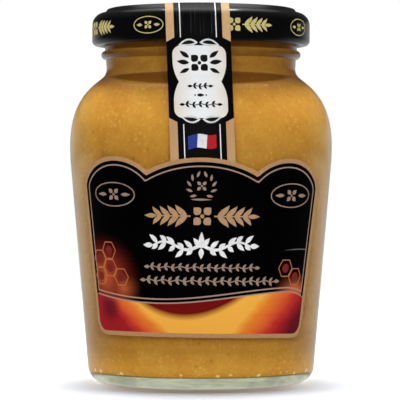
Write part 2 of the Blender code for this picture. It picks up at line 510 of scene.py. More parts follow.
@dataclass(frozen=True)
class MustardFinish:
    """Honey mustard pressed on the glass: a warm paste with paler grains and a few brown specks.

    Painted shades lie under the cap, in the throat and at the label's foot, and a faint light of its own
    stands in for the light that wanders through the paste. A ramp gives the places where it is 0 and 1.
    """

    base: Colour = screen(208, 156, 64)
    deep: Colour = screen(184, 120, 38)
    grain: Colour = screen(240, 200, 118)
    speck: Colour = screen(150, 76, 22)
    shaded: Colour = screen(112, 64, 20)
    olive: Colour = screen(92, 88, 48)
    edge_reflection: Colour = screen(192, 182, 124)
    pearl: Colour = screen(244, 226, 160)
    # The underside's pale green: a painted glow for the floor's light seen through the thick glass base.
    foot: Colour = screen(206, 211, 190)
    dark: Colour = (0.0, 0.0, 0.0, 1.0)
    cloud_size: float = 6.0
    fine_size: float = 0.8
    seed_spacing: float = 1.2
    seed_patch: float = 4.0
    bran_spacing: float = 3.6
    pearl_spacing: float = 2.0
    pearl_height: float = 0.35
    pearl_half: float = 0.45
    edge_reflection_ramp: Ramp = (25.0, 31.5)
    label_foot_ramp: Ramp = (10.8, 12.8)
    label_head_ramp: Ramp = (15.5, 13.5)
    label_front: float = -15.0
    label_shade: float = 0.3
    neck_ramp: Ramp = (77.0, 80.5)
    neck_shade: float = 0.24
    cap_ramp: Ramp = (82.0, 85.0)
    cap_shade: float = 0.7
    throat_height: float = 76.3
    throat_half_width: float = 21.5
    throat_half_height: float = 1.9
    throat_shade: float = 0.74
    glow: float = 0.6
    glow_everywhere: float = 0.05
    heel_ramp: Ramp = (9.5, 4.5)
    heel_glow: float = 0.6
    shoulder_ramp: Ramp = (58.5, 74.0)
    shoulder_end_ramp: Ramp = (76.5, 73.5)
    shoulder_glow: float = 0.42
    side_ramp: Ramp = (24.0, 32.0)
    side_glow: float = 0.18
    foot_height: float = 3.12
    foot_radius: float = 23.9
    foot_crown: float = 1.5
    foot_ends: float = 0.2
    rim_half: float = 0.09
    rim_drop: float = 0.05

    def material(self) -> bpy.types.Material:
        """Make the finish. Its underside is painted a pale green that glows, standing in for the floor's
        light seen through the thick glass base.

        Returns:
            The finished material.
        """
        made, painter = material("honey_mustard")
        place = painter.place()
        left, back, height = painter.split(place)
        fine = painter.noise(place, self.fine_size, 3.0).rising(0.3, 0.72)
        colour = self.paste(painter, place, fine)
        # Paler towards the sides: a painted reflection of the glass seen edge-on.
        colour = painter.mix(abs(left).rising(*self.edge_reflection_ramp) * 0.35, colour, self.edge_reflection)
        left_squared, back_squared = left * left, back * back
        sideways = left_squared / (left_squared + back_squared)
        edge = self.foot_height + self.foot_ends * sideways * sideways
        colour = painter.mix(self.pearls(painter, place, height - edge) * 0.75, colour, self.pearl)
        colour = self.shades(painter, (left, back, height), colour)
        crown = (1.0 - (left_squared + back_squared) / self.foot_radius**2).most(0.0) * self.foot_crown
        depth = edge + crown - height
        # The underside, painted pale green and glowing as painted light, darker along the streaks.
        under = depth.inside(0.15)
        rim = (self.rim_half - abs(depth + self.rim_drop)).inside(0.12)
        colour = painter.mix(rim * 0.9, colour, self.olive)
        streaks = painter.noise(painter.join(left * 0.15, back * 0.15, height * 2.5), 1.0, 3.0)
        streaks = streaks.rising(0.4, 0.65)
        base_glow_colour = painter.mix(streaks * 0.4 + 0.08, self.foot, self.dark)
        pale = painter.mix(streaks * 0.3, self.foot, self.olive)
        # The paste's painted glow, standing in for light that wanders through it.
        paste_glow = painter.mix(self.wandering_light(left, height), self.dark, colour)
        painter.surface(
            Base_Color=painter.mix(under, colour, pale),
            Emission_Color=painter.mix(under * (1.0 - rim * 0.3), paste_glow, base_glow_colour),
            Emission_Strength=self.glow,
            Roughness=0.55,
            Specular_IOR_Level=0.0,
            Normal=painter.bump(fine, 0.05, 0.4),
        )
        return made

    def paste(self, painter: Painter, place: bpy.types.NodeSocket, fine: Field) -> bpy.types.NodeSocket:
        """The paste itself, with its clouds, seeds and bran.

        Args:
            painter: The painter of the mustard's material.
            place: The place in the jar's frame.
            fine: The fine unevenness of the paste.

        Returns:
            The paste's colour.
        """
        clouds = painter.noise(place, self.cloud_size, 3.0).rising(0.34, 0.68)
        colour = painter.mix(clouds * 0.4 + fine * 0.3, self.base, self.deep)
        near, number = painter.grains(place, self.seed_spacing)
        patches = painter.noise(place, self.seed_patch).rising(0.35, 0.6)
        seeds = (0.16 + number * 0.12 - near).inside(0.25) * patches
        colour = painter.mix(seeds * 0.3, colour, self.grain)
        near, number = painter.grains(place, self.bran_spacing)
        bran = (0.11 - near).inside(0.12) * (number - 0.5).inside(0.1)
        return painter.mix(bran * 0.5, colour, self.speck)

    def pearls(self, painter: Painter, place: bpy.types.NodeSocket, above_edge: Field) -> Field:
        """The pale beads that lie along the lower edge of the mustard.

        Args:
            painter: The painter of the mustard's material.
            place: The place in the jar's frame.
            above_edge: The height above the mustard's lower edge.

        Returns:
            1 in a bead and 0 beside it.
        """
        near, number = painter.grains(place, self.pearl_spacing)
        beads = (0.26 - near).inside(0.16) * (number - 0.12).inside(0.1)
        return beads * (self.pearl_half - abs(above_edge - self.pearl_height)).inside(0.2)

    def shades(
        self, painter: Painter, spot: tuple[Field, Field, Field], colour: bpy.types.NodeSocket
    ) -> bpy.types.NodeSocket:
        """The shades at the label's foot, under the cap, and as a lens across the throat.

        Args:
            painter: The painter of the mustard's material.
            spot: The place across, to the back and up.
            colour: The colour without them.

        Returns:
            The shaded colour.
        """
        left, back, height = spot
        label = height.rising(*self.label_foot_ramp) * height.rising(*self.label_head_ramp)
        label = label * (self.label_front - back).inside(8.0)
        colour = painter.mix(label * self.label_shade, colour, self.shaded)
        neck = height.rising(*self.neck_ramp) * self.neck_shade
        cap = height.rising(*self.cap_ramp) * self.cap_shade
        colour = painter.mix(neck + cap, colour, self.shaded)
        off_throat = (height - self.throat_height) / self.throat_half_height
        throat = (1.0 - (left / self.throat_half_width).length(off_throat)).inside(0.14)
        return painter.mix(throat * self.throat_shade, colour, self.shaded)

    def wandering_light(self, left: Field, height: Field) -> Field:
        """The share of the paste's colour that glows as painted light, more at the heel, the shoulder and the
        sides.

        Args:
            left: The place across.
            height: The height.

        Returns:
            The share of the paste's colour that shines.
        """
        heel = height.rising(*self.heel_ramp) * self.heel_glow
        shoulder = height.rising(*self.shoulder_ramp) * height.rising(*self.shoulder_end_ramp)
        side = abs(left).rising(*self.side_ramp) * self.side_glow
        return heel + shoulder * self.shoulder_glow + side + self.glow_everywhere


@dataclass(frozen=True)
class EnamelFinish:
    """Stoved black enamel on tin plate: glossy, with a faint orange peel."""

    black: Colour = (0.0016, 0.0016, 0.0018, 1.0)
    worn: Colour = (0.0045, 0.0045, 0.005, 1.0)

    def material(self) -> bpy.types.Material:
        """Make the finish.

        Returns:
            The finished material.
        """
        made, painter = material("black_enamel")
        place = painter.place()
        peel = painter.noise(place, 1.6)
        cloud = painter.noise(place, 14.0)
        painter.surface(
            Base_Color=painter.mix(cloud, self.black, self.worn),
            Roughness=0.1 + 0.1 * cloud,
            Specular_IOR_Level=0.28,
            Normal=painter.bump(peel, 0.02, 0.25),
        )
        return made


@dataclass(frozen=True)
class InkFinish:
    """One colour of ink, with the slight unevenness of its print."""

    name: str
    colour: Colour
    roughness: float = 0.5

    def material(self) -> bpy.types.Material:
        """Make the finish.

        Returns:
            The finished material.
        """
        made, painter = material(self.name)
        uneven = painter.noise(painter.place(), 0.7, 3.0)
        darker = (self.colour[0] * 0.82, self.colour[1] * 0.8, self.colour[2] * 0.78, 1.0)
        painter.surface(
            Base_Color=painter.mix(uneven.rising(0.3, 0.75), self.colour, darker),
            Roughness=self.roughness - 0.1 + uneven * 0.2,
            Specular_IOR_Level=0.1,
            Normal=painter.bump(uneven, 0.01, 0.3),
        )
        return made


@dataclass(frozen=True)
class LabelPrint:
    """The front label's print: a tan border, a black field, and a honey-coloured band below a wave.

    A pool is a soft oval, given by its centre and its reach across and up the label.
    """

    tan: Colour = screen(190, 146, 100)
    tan_fibre: Colour = screen(178, 132, 88)
    line: Colour = screen(168, 138, 118)
    black: Colour = (0.0006, 0.0006, 0.0009, 1.0)
    gold: Colour = screen(246, 175, 68)
    orange: Colour = screen(230, 126, 42)
    vermilion: Colour = screen(222, 96, 44)
    red: Colour = screen(196, 52, 40)
    crimson: Colour = screen(160, 28, 34)
    wine: Colour = screen(100, 18, 28)
    blood: Colour = screen(112, 16, 12)
    ember: Colour = screen(196, 96, 52)
    crease_highlight: Colour = screen(120, 120, 122)
    border: float = 1.05
    inner_line: float = 2.1
    line_half: float = 0.165
    wave_height: float = 23.35
    wave_swing: float = 1.5
    wave_place: float = 7.25
    wave_half_length: float = 38.5
    wave_droop: float = 0.024
    droop_start: float = 25.0
    wave_lines_apart: float = 0.5
    wave_line_half: float = 0.17
    left_glow: Pool = ((-28.0, 27.0), (13.0, 12.0))
    left_ember: Pool = ((-21.5, 24.6), (6.0, 5.0))
    right_glow: Pool = ((28.5, 24.4), (8.5, 5.0))
    wine_pool: Pool = ((-27.0, 19.6), (4.6, 4.2))
    crease_highlight_height: float = 34.7
    crease_highlight_half: float = 0.11
    crease_highlight_ramp: Ramp = (23.0, 27.0)
    crease_highlight_end: float = 34.2
    drift_size: float = 6.0
    drift_reach: float = 3.0
    left_lean: float = 1.3
    left_foot: float = 14.3
    left_ramp: Ramp = (-8.0, -20.0)
    right_lean: float = 0.95
    right_foot: float = 14.5
    right_ramp: Ramp = (9.0, 27.5)
    flow_middle: float = -5.0
    sag_drop: float = 4.3
    sag_place: float = -2.2
    sag_bend: float = 0.019
    sag_ramp: Ramp = (-0.8, 1.0)

    def material(self) -> bpy.types.Material:
        """Make the finish.

        Returns:
            The finished material.
        """
        made, painter = material("label_print")
        across, up, edge = painter.printed()
        fall = (across - self.droop_start).most(0.0)
        turn = (across - self.wave_place) * (math.pi / self.wave_half_length)
        wave = self.wave_height + self.wave_swing * turn.sine() - self.wave_droop * fall * fall
        rise = up - wave
        apart = self.wave_lines_apart
        field = self.dark_field(painter, across, up)
        colour = painter.mix((-apart - rise).inside(), field, self.honey_band(painter, across, up, rise))
        lines = (self.wave_line_half - abs(abs(rise) - apart)).inside()
        colour = painter.mix(lines * (edge - self.border).inside(), colour, self.line)
        gap = (self.inner_line - self.line_half - edge).inside() * (rise + apart).inside()
        colour = painter.mix(gap, colour, self.black)
        side_line = (self.line_half - abs(edge - self.inner_line)).inside() * (rise - apart).inside()
        colour = painter.mix(side_line, colour, self.line)
        fibre = painter.noise(painter.place(), 0.5, 3.0)
        tan = painter.mix(fibre.rising(0.3, 0.7), self.tan, self.tan_fibre)
        colour = painter.mix((self.border - edge).inside(), colour, tan)
        swell = painter.noise(painter.place(), 11.0)
        painter.surface(
            Base_Color=colour,
            Roughness=0.38 + fibre * 0.14,
            Specular_IOR_Level=0.02,
            Normal=painter.bump(fibre * 0.3 + swell, 0.06, 0.35),
        )
        return made

    def pool(self, across: Field, up: Field, pool: Pool) -> Field:
        """A soft oval pool of colour.

        Args:
            across: The place across the label.
            up: The height on the label.
            pool: The pool's centre and reach.

        Returns:
            1 at the pool's centre, falling to 0 at its edge.
        """
        (middle, height), (half_across, half_up) = pool
        return (1.0 - ((across - middle) / half_across).length((up - height) / half_up)).held()

    def dark_field(self, painter: Painter, across: Field, up: Field) -> bpy.types.NodeSocket:
        """The black field, with an ember glow in its lower corners and, at the right, a fine crease drawn as
        a painted highlight.

        Args:
            painter: The painter of the label's material.
            across: The place across the label.
            up: The height on the label.

        Returns:
            The field's colour.
        """
        left = self.pool(across, up, self.left_glow)
        right = self.pool(across, up, self.right_glow)
        colour = painter.mix((left * left * 3.0).held(), self.black, self.blood)
        hot = self.pool(across, up, self.left_ember)
        colour = painter.mix((hot * hot).most(left**3.0) * 0.85 + right * right * 1.5, colour, self.ember)
        # A fine crease at the right: a real crease, drawn as a painted highlight along it.
        ripple = 0.12 * (across * 0.5).sine()
        crease_highlight = (self.crease_highlight_half - abs(up - self.crease_highlight_height - ripple)).inside(0.12)
        crease_highlight = crease_highlight * across.rising(*self.crease_highlight_ramp) * (self.crease_highlight_end - across).inside(0.5)
        return painter.mix(crease_highlight * 0.8, colour, self.crease_highlight)

    def honey_band(self, painter: Painter, across: Field, up: Field, rise: Field) -> bpy.types.NodeSocket:
        """The band below the wave: a golden flow between red ones.

        Args:
            painter: The painter of the label's material.
            across: The place across the label.
            up: The height on the label.
            rise: The height above the wave.

        Returns:
            The band's colour.
        """
        drift = painter.noise(painter.join(across, up * 2.0, 0.0), self.drift_size)
        drift = drift * self.drift_reach - self.drift_reach / 2.0
        left = across + self.left_lean * (up - self.left_foot) + drift
        right = across - self.right_lean * (up - self.right_foot) + drift
        warm = (self.gold, self.orange, self.vermilion, self.red, self.crimson)
        flow = self.blend(painter, right.rising(*self.right_ramp), warm + (self.wine,))
        edge = self.blend(painter, left.rising(*self.left_ramp), warm)
        colour = painter.mix((self.flow_middle - left).inside(), flow, edge)
        shade = self.pool(across, up, self.wine_pool)
        colour = painter.mix((shade * 1.5).held() * 0.85, colour, self.wine)
        aside = across - self.sag_place
        sag = rise + self.sag_drop - self.sag_bend * aside * aside
        return painter.mix(sag.rising(*self.sag_ramp), colour, self.blood)

    def blend(self, painter: Painter, share: Field, colours: Sequence[Colour]) -> bpy.types.NodeSocket:
        """Colours that follow one another evenly.

        Args:
            painter: The painter of the label's material.
            share: 0 at the first colour and 1 at the last.
            colours: The colours in order.

        Returns:
            The blended colour.
        """
        stops = [(place / (len(colours) - 1), colour) for place, colour in enumerate(colours)]
        return painter.node("ShaderNodeValToRGB", {"stops": stops}, {0: share}).outputs[0]


@dataclass(frozen=True)
class SealPrint:
    """The seal's print: tan edges, a black middle with white lines, and a cream plaque.

    Widths go across the seal, and heights are those that the seal's front reaches on the jar and the cap.
    """

    tan: Colour = screen(226, 184, 134)
    tan_low: Colour = screen(200, 156, 112)
    tan_shaded_top: Colour = screen(190, 160, 124)
    black: Colour = (0.0022, 0.0018, 0.0018, 1.0)
    # The painted sheen along the creases on the cap.
    grey: Colour = (0.03, 0.03, 0.033, 1.0)
    white: Colour = screen(252, 252, 250)
    cream: Colour = screen(236, 220, 200)
    middle_half: float = 5.9
    middle_widening: float = 2.4
    wide_foot: float = 65.4
    wide_head: float = 86.5
    bend_start: float = 91.8
    bend_end: float = 92.9
    line_place: float = 4.4
    line_half: float = 0.115
    plaque_waist_height: float = 75.6
    plaque_reach: float = 9.1
    plaque_half: float = 6.55
    plaque_waist: float = 5.15
    plaque_pinch: float = 5.0
    plaque_round: float = 2.2

    def material(self, seal: Seal) -> bpy.types.Material:
        """Make the finish.

        Args:
            seal: The seal that is printed, which knows the runs of its heights.

        Returns:
            The material.
        """
        made, painter = material("seal_print")
        across, run, _ = painter.printed()
        low, high = seal.run_at(self.wide_foot), seal.run_at(self.wide_head)
        reach = abs(across)
        fibre = painter.noise(painter.place(), 0.5, 3.0)
        tan = painter.mix(run.rising(low, high), self.tan_low, self.tan)
        # Greyer tan where the seal bends over the cap's edge: painted shade.
        top_shade = run.rising(seal.run_at(self.bend_start), seal.run_at(self.bend_end))
        tan = painter.mix(top_shade, tan, self.tan_shaded_top)
        tan = painter.mix(fibre.rising(0.3, 0.7) * 0.5, tan, self.tan_low)
        wide = run.rising(low + 0.3, low + 1.6).least(run.rising(high, high - 1.3))
        creases = painter.noise(painter.join(across * 2.5, run * 0.1, 0.0), 1.0, 3.0)
        on_cap = run.rising(high, high + 1.5)
        # Pale grey along the creases on the cap: a painted sheen, beside the creases' real bump.
        black = painter.mix(creases.rising(0.52, 0.78) * on_cap, self.black, self.grey)
        in_middle = (self.middle_half + wide * self.middle_widening - reach).inside()
        colour = painter.mix(in_middle, tan, black)
        beyond = (low - 0.2 - run).inside().most((run - high).inside())
        lines = (self.line_half - abs(reach - self.line_place)).inside() * beyond
        colour = painter.mix(lines, colour, self.white)
        plaque = self.plaque_depth(run - seal.run_at(self.plaque_waist_height), reach)
        shade = painter.noise(painter.join(across, run, 0.0), 5.0)
        cream = painter.mix((reach.rising(1.5, 8.0) * shade * 1.7).held(), self.white, self.cream)
        colour = painter.mix(plaque.inside(), colour, cream)
        painter.surface(
            Base_Color=colour,
            Roughness=0.36 + fibre * 0.14,
            Specular_IOR_Level=0.04,
            Normal=painter.bump(fibre * 0.2 + creases * on_cap, 0.06, 0.5),
        )
        return made

    def plaque_depth(self, above_waist: Field, reach: Field) -> Field:
        """How far a place lies inside the plaque, which is drawn in at its waist.

        Args:
            above_waist: The run above the waist.
            reach: The distance from the seal's middle line.

        Returns:
            The depth, below 0 outside the plaque.
        """
        off_waist = abs(above_waist)
        pinch = (1.0 - off_waist / self.plaque_pinch).held()
        half = self.plaque_half - (self.plaque_half - self.plaque_waist) * pinch * pinch
        side = (reach - half + self.plaque_round).most(0.0)
        end = (off_waist - self.plaque_reach + self.plaque_round).most(0.0)
        return self.plaque_round - side.length(end)


# Meshes


def turned(section: Sequence[Vector], steps: int) -> bmesh.types.BMesh:
    """A closed section of radius and height, spun about the Z axis.

    Args:
        section: The points of the section, from the axis round to the axis.
        steps: How many sides the turn has.

    Returns:
        The closed shape.
    """
    shape = bmesh.new()
    corners = [shape.verts.new((point.x, 0.0, point.y)) for point in section]
    edges = [shape.edges.new(pair) for pair in zip(corners, corners[1:])]
    bmesh.ops.spin(
        shape, geom=corners + edges, cent=(0.0, 0.0, 0.0), axis=(0.0, 0.0, 1.0),
        angle=math.tau, steps=steps, use_merge=True, use_duplicate=False,
    )
    bmesh.ops.remove_doubles(shape, verts=shape.verts, dist=MERGE)
    bmesh.ops.recalc_face_normals(shape, faces=shape.faces)
    return shape


def finished(
    name: str, shape: bmesh.types.BMesh, finish: bpy.types.Material, slot: Slot, *nodes: str
) -> bpy.types.Object:
    """Make a shape a piece of the jar.

    Args:
        name: The piece's name.
        shape: Its mesh in millimetres, which is used up.
        finish: Its material.
        slot: The record's finish that it would take. Not used.
        nodes: The solids of the frame that it stands for.

    Returns:
        The piece.
    """
    bmesh.ops.scale(shape, vec=(METRES, METRES, METRES), verts=shape.verts)
    for face in shape.faces:
        face.smooth = True
    mesh = bpy.data.meshes.new(name)
    shape.to_mesh(mesh)
    shape.free()
    mesh.set_sharp_from_angle(angle=SHARP_ANGLE)
    mesh.materials.append(finish)
    piece = bpy.data.objects.new(name, mesh)
    bpy.context.scene.collection.objects.link(piece)
    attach(piece, "root")
    if nodes:
        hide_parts(*nodes)
    LOG.info("%s: %d faces", name, len(mesh.polygons))
    return piece


@dataclass(frozen=True)
class FramedFlower:
    """The sizes of a flower between two leaves in an oval frame."""

    half_across: float
    half_up: float
    line: float
    flower: float
    petal: float
    leaf_place: float
    leaf_length: float
    leaf_width: float


def level_way(side: float) -> float:
    """The angle that points level to the right, for a side of 1, or to the left, for -1."""
    return 90.0 - side * 90.0


class Artwork:
    """Flat shapes, drawn as places across and up a sheet and then laid on what carries them."""

    def __init__(self) -> None:
        """Start with an empty sheet."""
        self.shape = bmesh.new()
        self.kept = self.shape.verts.layers.float_vector.new(PRINT_PLACE)

    def patch(self, columns: int, rows: int, where: Callable[[float, float], Flat]) -> None:
        """Draw a grid.

        Args:
            columns: How many faces it has across.
            rows: How many faces it has upwards.
            where: Takes a grid place, from -1 to 1 both ways, to its place on the sheet.
        """
        made = bmesh.ops.create_grid(self.shape, x_segments=columns, y_segments=rows, size=1.0)
        for corner in made["verts"]:
            across, up = where(corner.co.x, corner.co.y)
            corner.co = (across, up, 0.0)

    def stroke(self, way: Callable[[float], Flat], half_width: Callable[[float], float], steps: int) -> None:
        """Draw a line whose width may change.

        Args:
            way: Takes a share of the line, from 0 to 1, to its place.
            half_width: Takes that share to half the line's width there.
            steps: How many pieces the line has.
        """
        nudge = 0.25 / steps

        def where(x: float, y: float) -> Flat:
            """Place a grid corner beside the line.

            Args:
                x: The way along, from -1 to 1.
                y: The side of the line, from -1 to 1.

            Returns:
                The corner's place on the sheet.
            """
            share = (x + 1.0) / 2.0
            middle = Vector(way(share))
            along = (Vector(way(share + nudge)) - Vector(way(share - nudge))).normalized()
            spot = middle + Vector((-along.y, along.x)) * half_width(share) * y
            return spot.x, spot.y

        self.patch(steps, 1, where)

    def leaf(self, root: Flat, angle: float, length: float, width: float, bend: float = 0.0) -> None:
        """Draw a pointed leaf.

        Args:
            root: Where it starts.
            angle: The way that it points, in degrees.
            length: Its length.
            width: Its width.
            bend: How far its middle bows out to the left.
        """
        ahead = heading(angle)
        aside = Vector((-ahead.y, ahead.x))

        def way(share: float) -> Flat:
            """The leaf's midrib."""
            spot = Vector(root) + ahead * length * share + aside * bend * math.sin(math.pi * share)
            return spot.x, spot.y

        self.stroke(way, lambda share: width / 2.0 * math.sin(math.pi * share**0.85), 8)

    def disc(self, centre: Flat, radius: float) -> None:
        """Draw a small round spot."""
        turn = Matrix.Translation((centre[0], centre[1], 0.0))
        bmesh.ops.create_circle(
            self.shape, cap_ends=True, cap_tris=True, segments=14, radius=radius, matrix=turn
        )

    def ring(self, centre: Flat, half_across: float, half_up: float, line: float, sides: int = 48) -> None:
        """Draw a closed line.

        Args:
            centre: Its middle.
            half_across: Its reach across.
            half_up: Its reach upwards.
            line: The width of the line.
            sides: How many pieces it has. Six make a honeycomb's cell.
        """

        def way(share: float) -> Flat:
            """The line's own way round."""
            angle = math.tau * share
            return centre[0] + half_across * math.cos(angle), centre[1] + half_up * math.sin(angle)

        if sides > 12:
            self.stroke(way, lambda share: line / 2.0, sides)
            return
        for side in range(sides):
            start, end = Vector(way(side / sides)), Vector(way((side + 1) / sides))
            self.stroke(lambda share, a=start, b=end: tuple(a.lerp(b, share)), lambda share: line / 2.0, 2)

    def framed_flower(self, centre: Flat, sizes: FramedFlower) -> None:
        """Draw a flower between two leaves in an oval frame.

        Args:
            centre: The middle of the frame.
            sizes: The sizes of the frame and what it holds.
        """
        self.ring(centre, sizes.half_across, sizes.half_up, sizes.line)
        self.blossom(centre, sizes.flower, sizes.petal)
        for side in SIDES:
            root = (centre[0] + side * sizes.leaf_place, centre[1])
            self.leaf(root, level_way(side), sizes.leaf_length, sizes.leaf_width)

    def blossom(self, centre: Flat, radius: float, width: float, turn: float = 45.0) -> None:
        """Draw a flower of four petals round a small eye.

        Args:
            centre: The flower's middle.
            radius: The reach of its petals.
            width: The width of a petal.
            turn: The angle of the first petal, in degrees.
        """
        for petal in range(4):
            angle = turn + 90.0 * petal
            start = Vector(centre) + heading(angle) * radius * 0.24
            self.leaf((start.x, start.y), angle, radius * 0.78, width)
        self.disc(centre, radius * 0.17)

    def sprig(self, root: Flat, angle: float, length: float, pairs: int, leaf: float, width: float) -> None:
        """Draw a stem with pairs of leaves and a leaf at its tip.

        Args:
            root: The foot of the stem.
            angle: The way that it grows, in degrees.
            length: The length of the stem.
            pairs: How many pairs of leaves it has.
            leaf: The length of a leaf.
            width: The width of a leaf.
        """
        ahead = heading(angle)
        foot = Vector(root)
        self.stroke(lambda share: tuple(foot + ahead * length * share), lambda share: width * 0.13, 10)
        for pair in range(pairs):
            joint = foot + ahead * length * (pair + 0.35) / pairs
            size = 1.0 - 0.25 * pair / pairs
            for side in SIDES:
                self.leaf(tuple(joint), angle + side * 42.0, leaf * size, width * size, -side * leaf * 0.06)
        self.leaf(tuple(foot + ahead * length), angle, leaf * 0.8, width * 0.8)

    def garland(self, centre: Flat, length: float, height: float, leaves: int) -> None:
        """Draw a band of bold leaves that grow both ways from a flower in its middle.

        Args:
            centre: The middle of the band.
            length: Its whole length.
            height: Its height.
            leaves: How many pairs of leaves each half has.
        """
        reach = length / 2.0 - height * 0.62
        for side in SIDES:
            start = (centre[0] + side * height * 0.5, centre[1])
            self.sprig(start, level_way(side), reach - height * 0.42, leaves, height * 0.7, height * 0.24)
        self.blossom(centre, height * 0.5, height * 0.36)

    def vine(self, centre: Flat, length: float, height: float, pairs: int) -> None:
        """Draw a thin running stem with pairs of small leaves and a bud at each end.

        Args:
            centre: The middle of the vine.
            length: Its whole length.
            height: Its height.
            pairs: How many pairs of leaves it has.
        """
        bud = height * 0.75
        reach = length - 2.0 * bud
        left = centre[0] - reach / 2.0

        def way(share: float) -> Flat:
            """The running stem."""
            return left + reach * share, centre[1] + height * 0.09 * math.sin(math.pi * pairs * share)

        self.stroke(way, lambda share: height * 0.055, pairs * 6)
        for pair in range(pairs):
            root = way((pair + 0.2) / pairs)
            self.leaf(root, 48.0, height * 0.64, height * 0.3)
            self.leaf(root, -48.0, height * 0.64, height * 0.3)
        self.leaf(way(0.0), 180.0, bud, height * 0.4)
        self.leaf(way(1.0), 0.0, bud, height * 0.4)

    def scroll(self, centre: Flat, length: float, height: float) -> None:
        """Draw a bold scroll of leaves: an upright bud, and a curling stem to each side.

        Args:
            centre: The middle of the scroll.
            length: Its whole length.
            height: Its height.
        """
        for angle, size in ((90.0, 0.62), (50.0, 0.5), (130.0, 0.5), (-90.0, 0.42)):
            self.leaf((centre[0], centre[1] - height * 0.08), angle, height * size, height * 0.21)
        for side in SIDES:

            def way(share: float, side: float = side) -> Flat:
                """The stem of one side, which swings down and up again.

                Args:
                    share: The way along it, from 0 to 1.
                    side: 1 for the stem on the right and -1 for the one on the left.

                Returns:
                    The place on the sheet.
                """
                swing = -height * 0.15 * math.sin(math.tau * share)
                reach = height * 0.1 + (length / 2.0 - height * 0.5) * share
                return centre[0] + side * reach, centre[1] + swing

            self.stroke(way, lambda share: height * (0.065 - 0.03 * share), 32)
            for leaf in range(5):
                share = 0.14 + 0.19 * leaf
                for turn in (44.0, -44.0):
                    angle = turn if side > 0.0 else 180.0 - turn
                    size = 0.46 if (turn > 0.0) == (leaf % 2 == 0) else 0.34
                    bend = side * math.copysign(0.15, turn)
                    self.leaf(way(share), angle, height * size, height * 0.18, bend)
            self.leaf(way(1.0), level_way(side), height * 0.42, height * 0.2)

    def laid(self, laying: Laying, lift: float, thickness: float) -> bmesh.types.BMesh:
        """Lay the drawing on its carrier and give it its thickness.

        Args:
            laying: Takes a place across, a place up and a lift to a point of space.
            lift: How far the underside lies above the carrier.
            thickness: The thickness of the paper or the ink.

        Returns:
            The closed shape.
        """
        bmesh.ops.remove_doubles(self.shape, verts=self.shape.verts, dist=MERGE)
        bmesh.ops.dissolve_degenerate(self.shape, dist=MERGE, edges=self.shape.edges)
        self.shape.normal_update()
        for face in self.shape.faces:
            if face.normal.z < 0.0:
                face.normal_flip()
        for corner in self.shape.verts:
            across, up, _ = corner.co
            if not corner[self.kept].length:
                corner[self.kept] = (across, up, 0.0)
            corner.co = laying(across, up, lift + thickness)
        self.shape.normal_update()
        bmesh.ops.solidify(self.shape, geom=self.shape.faces[:], thickness=thickness)
        return self.shape


# The jar's pieces


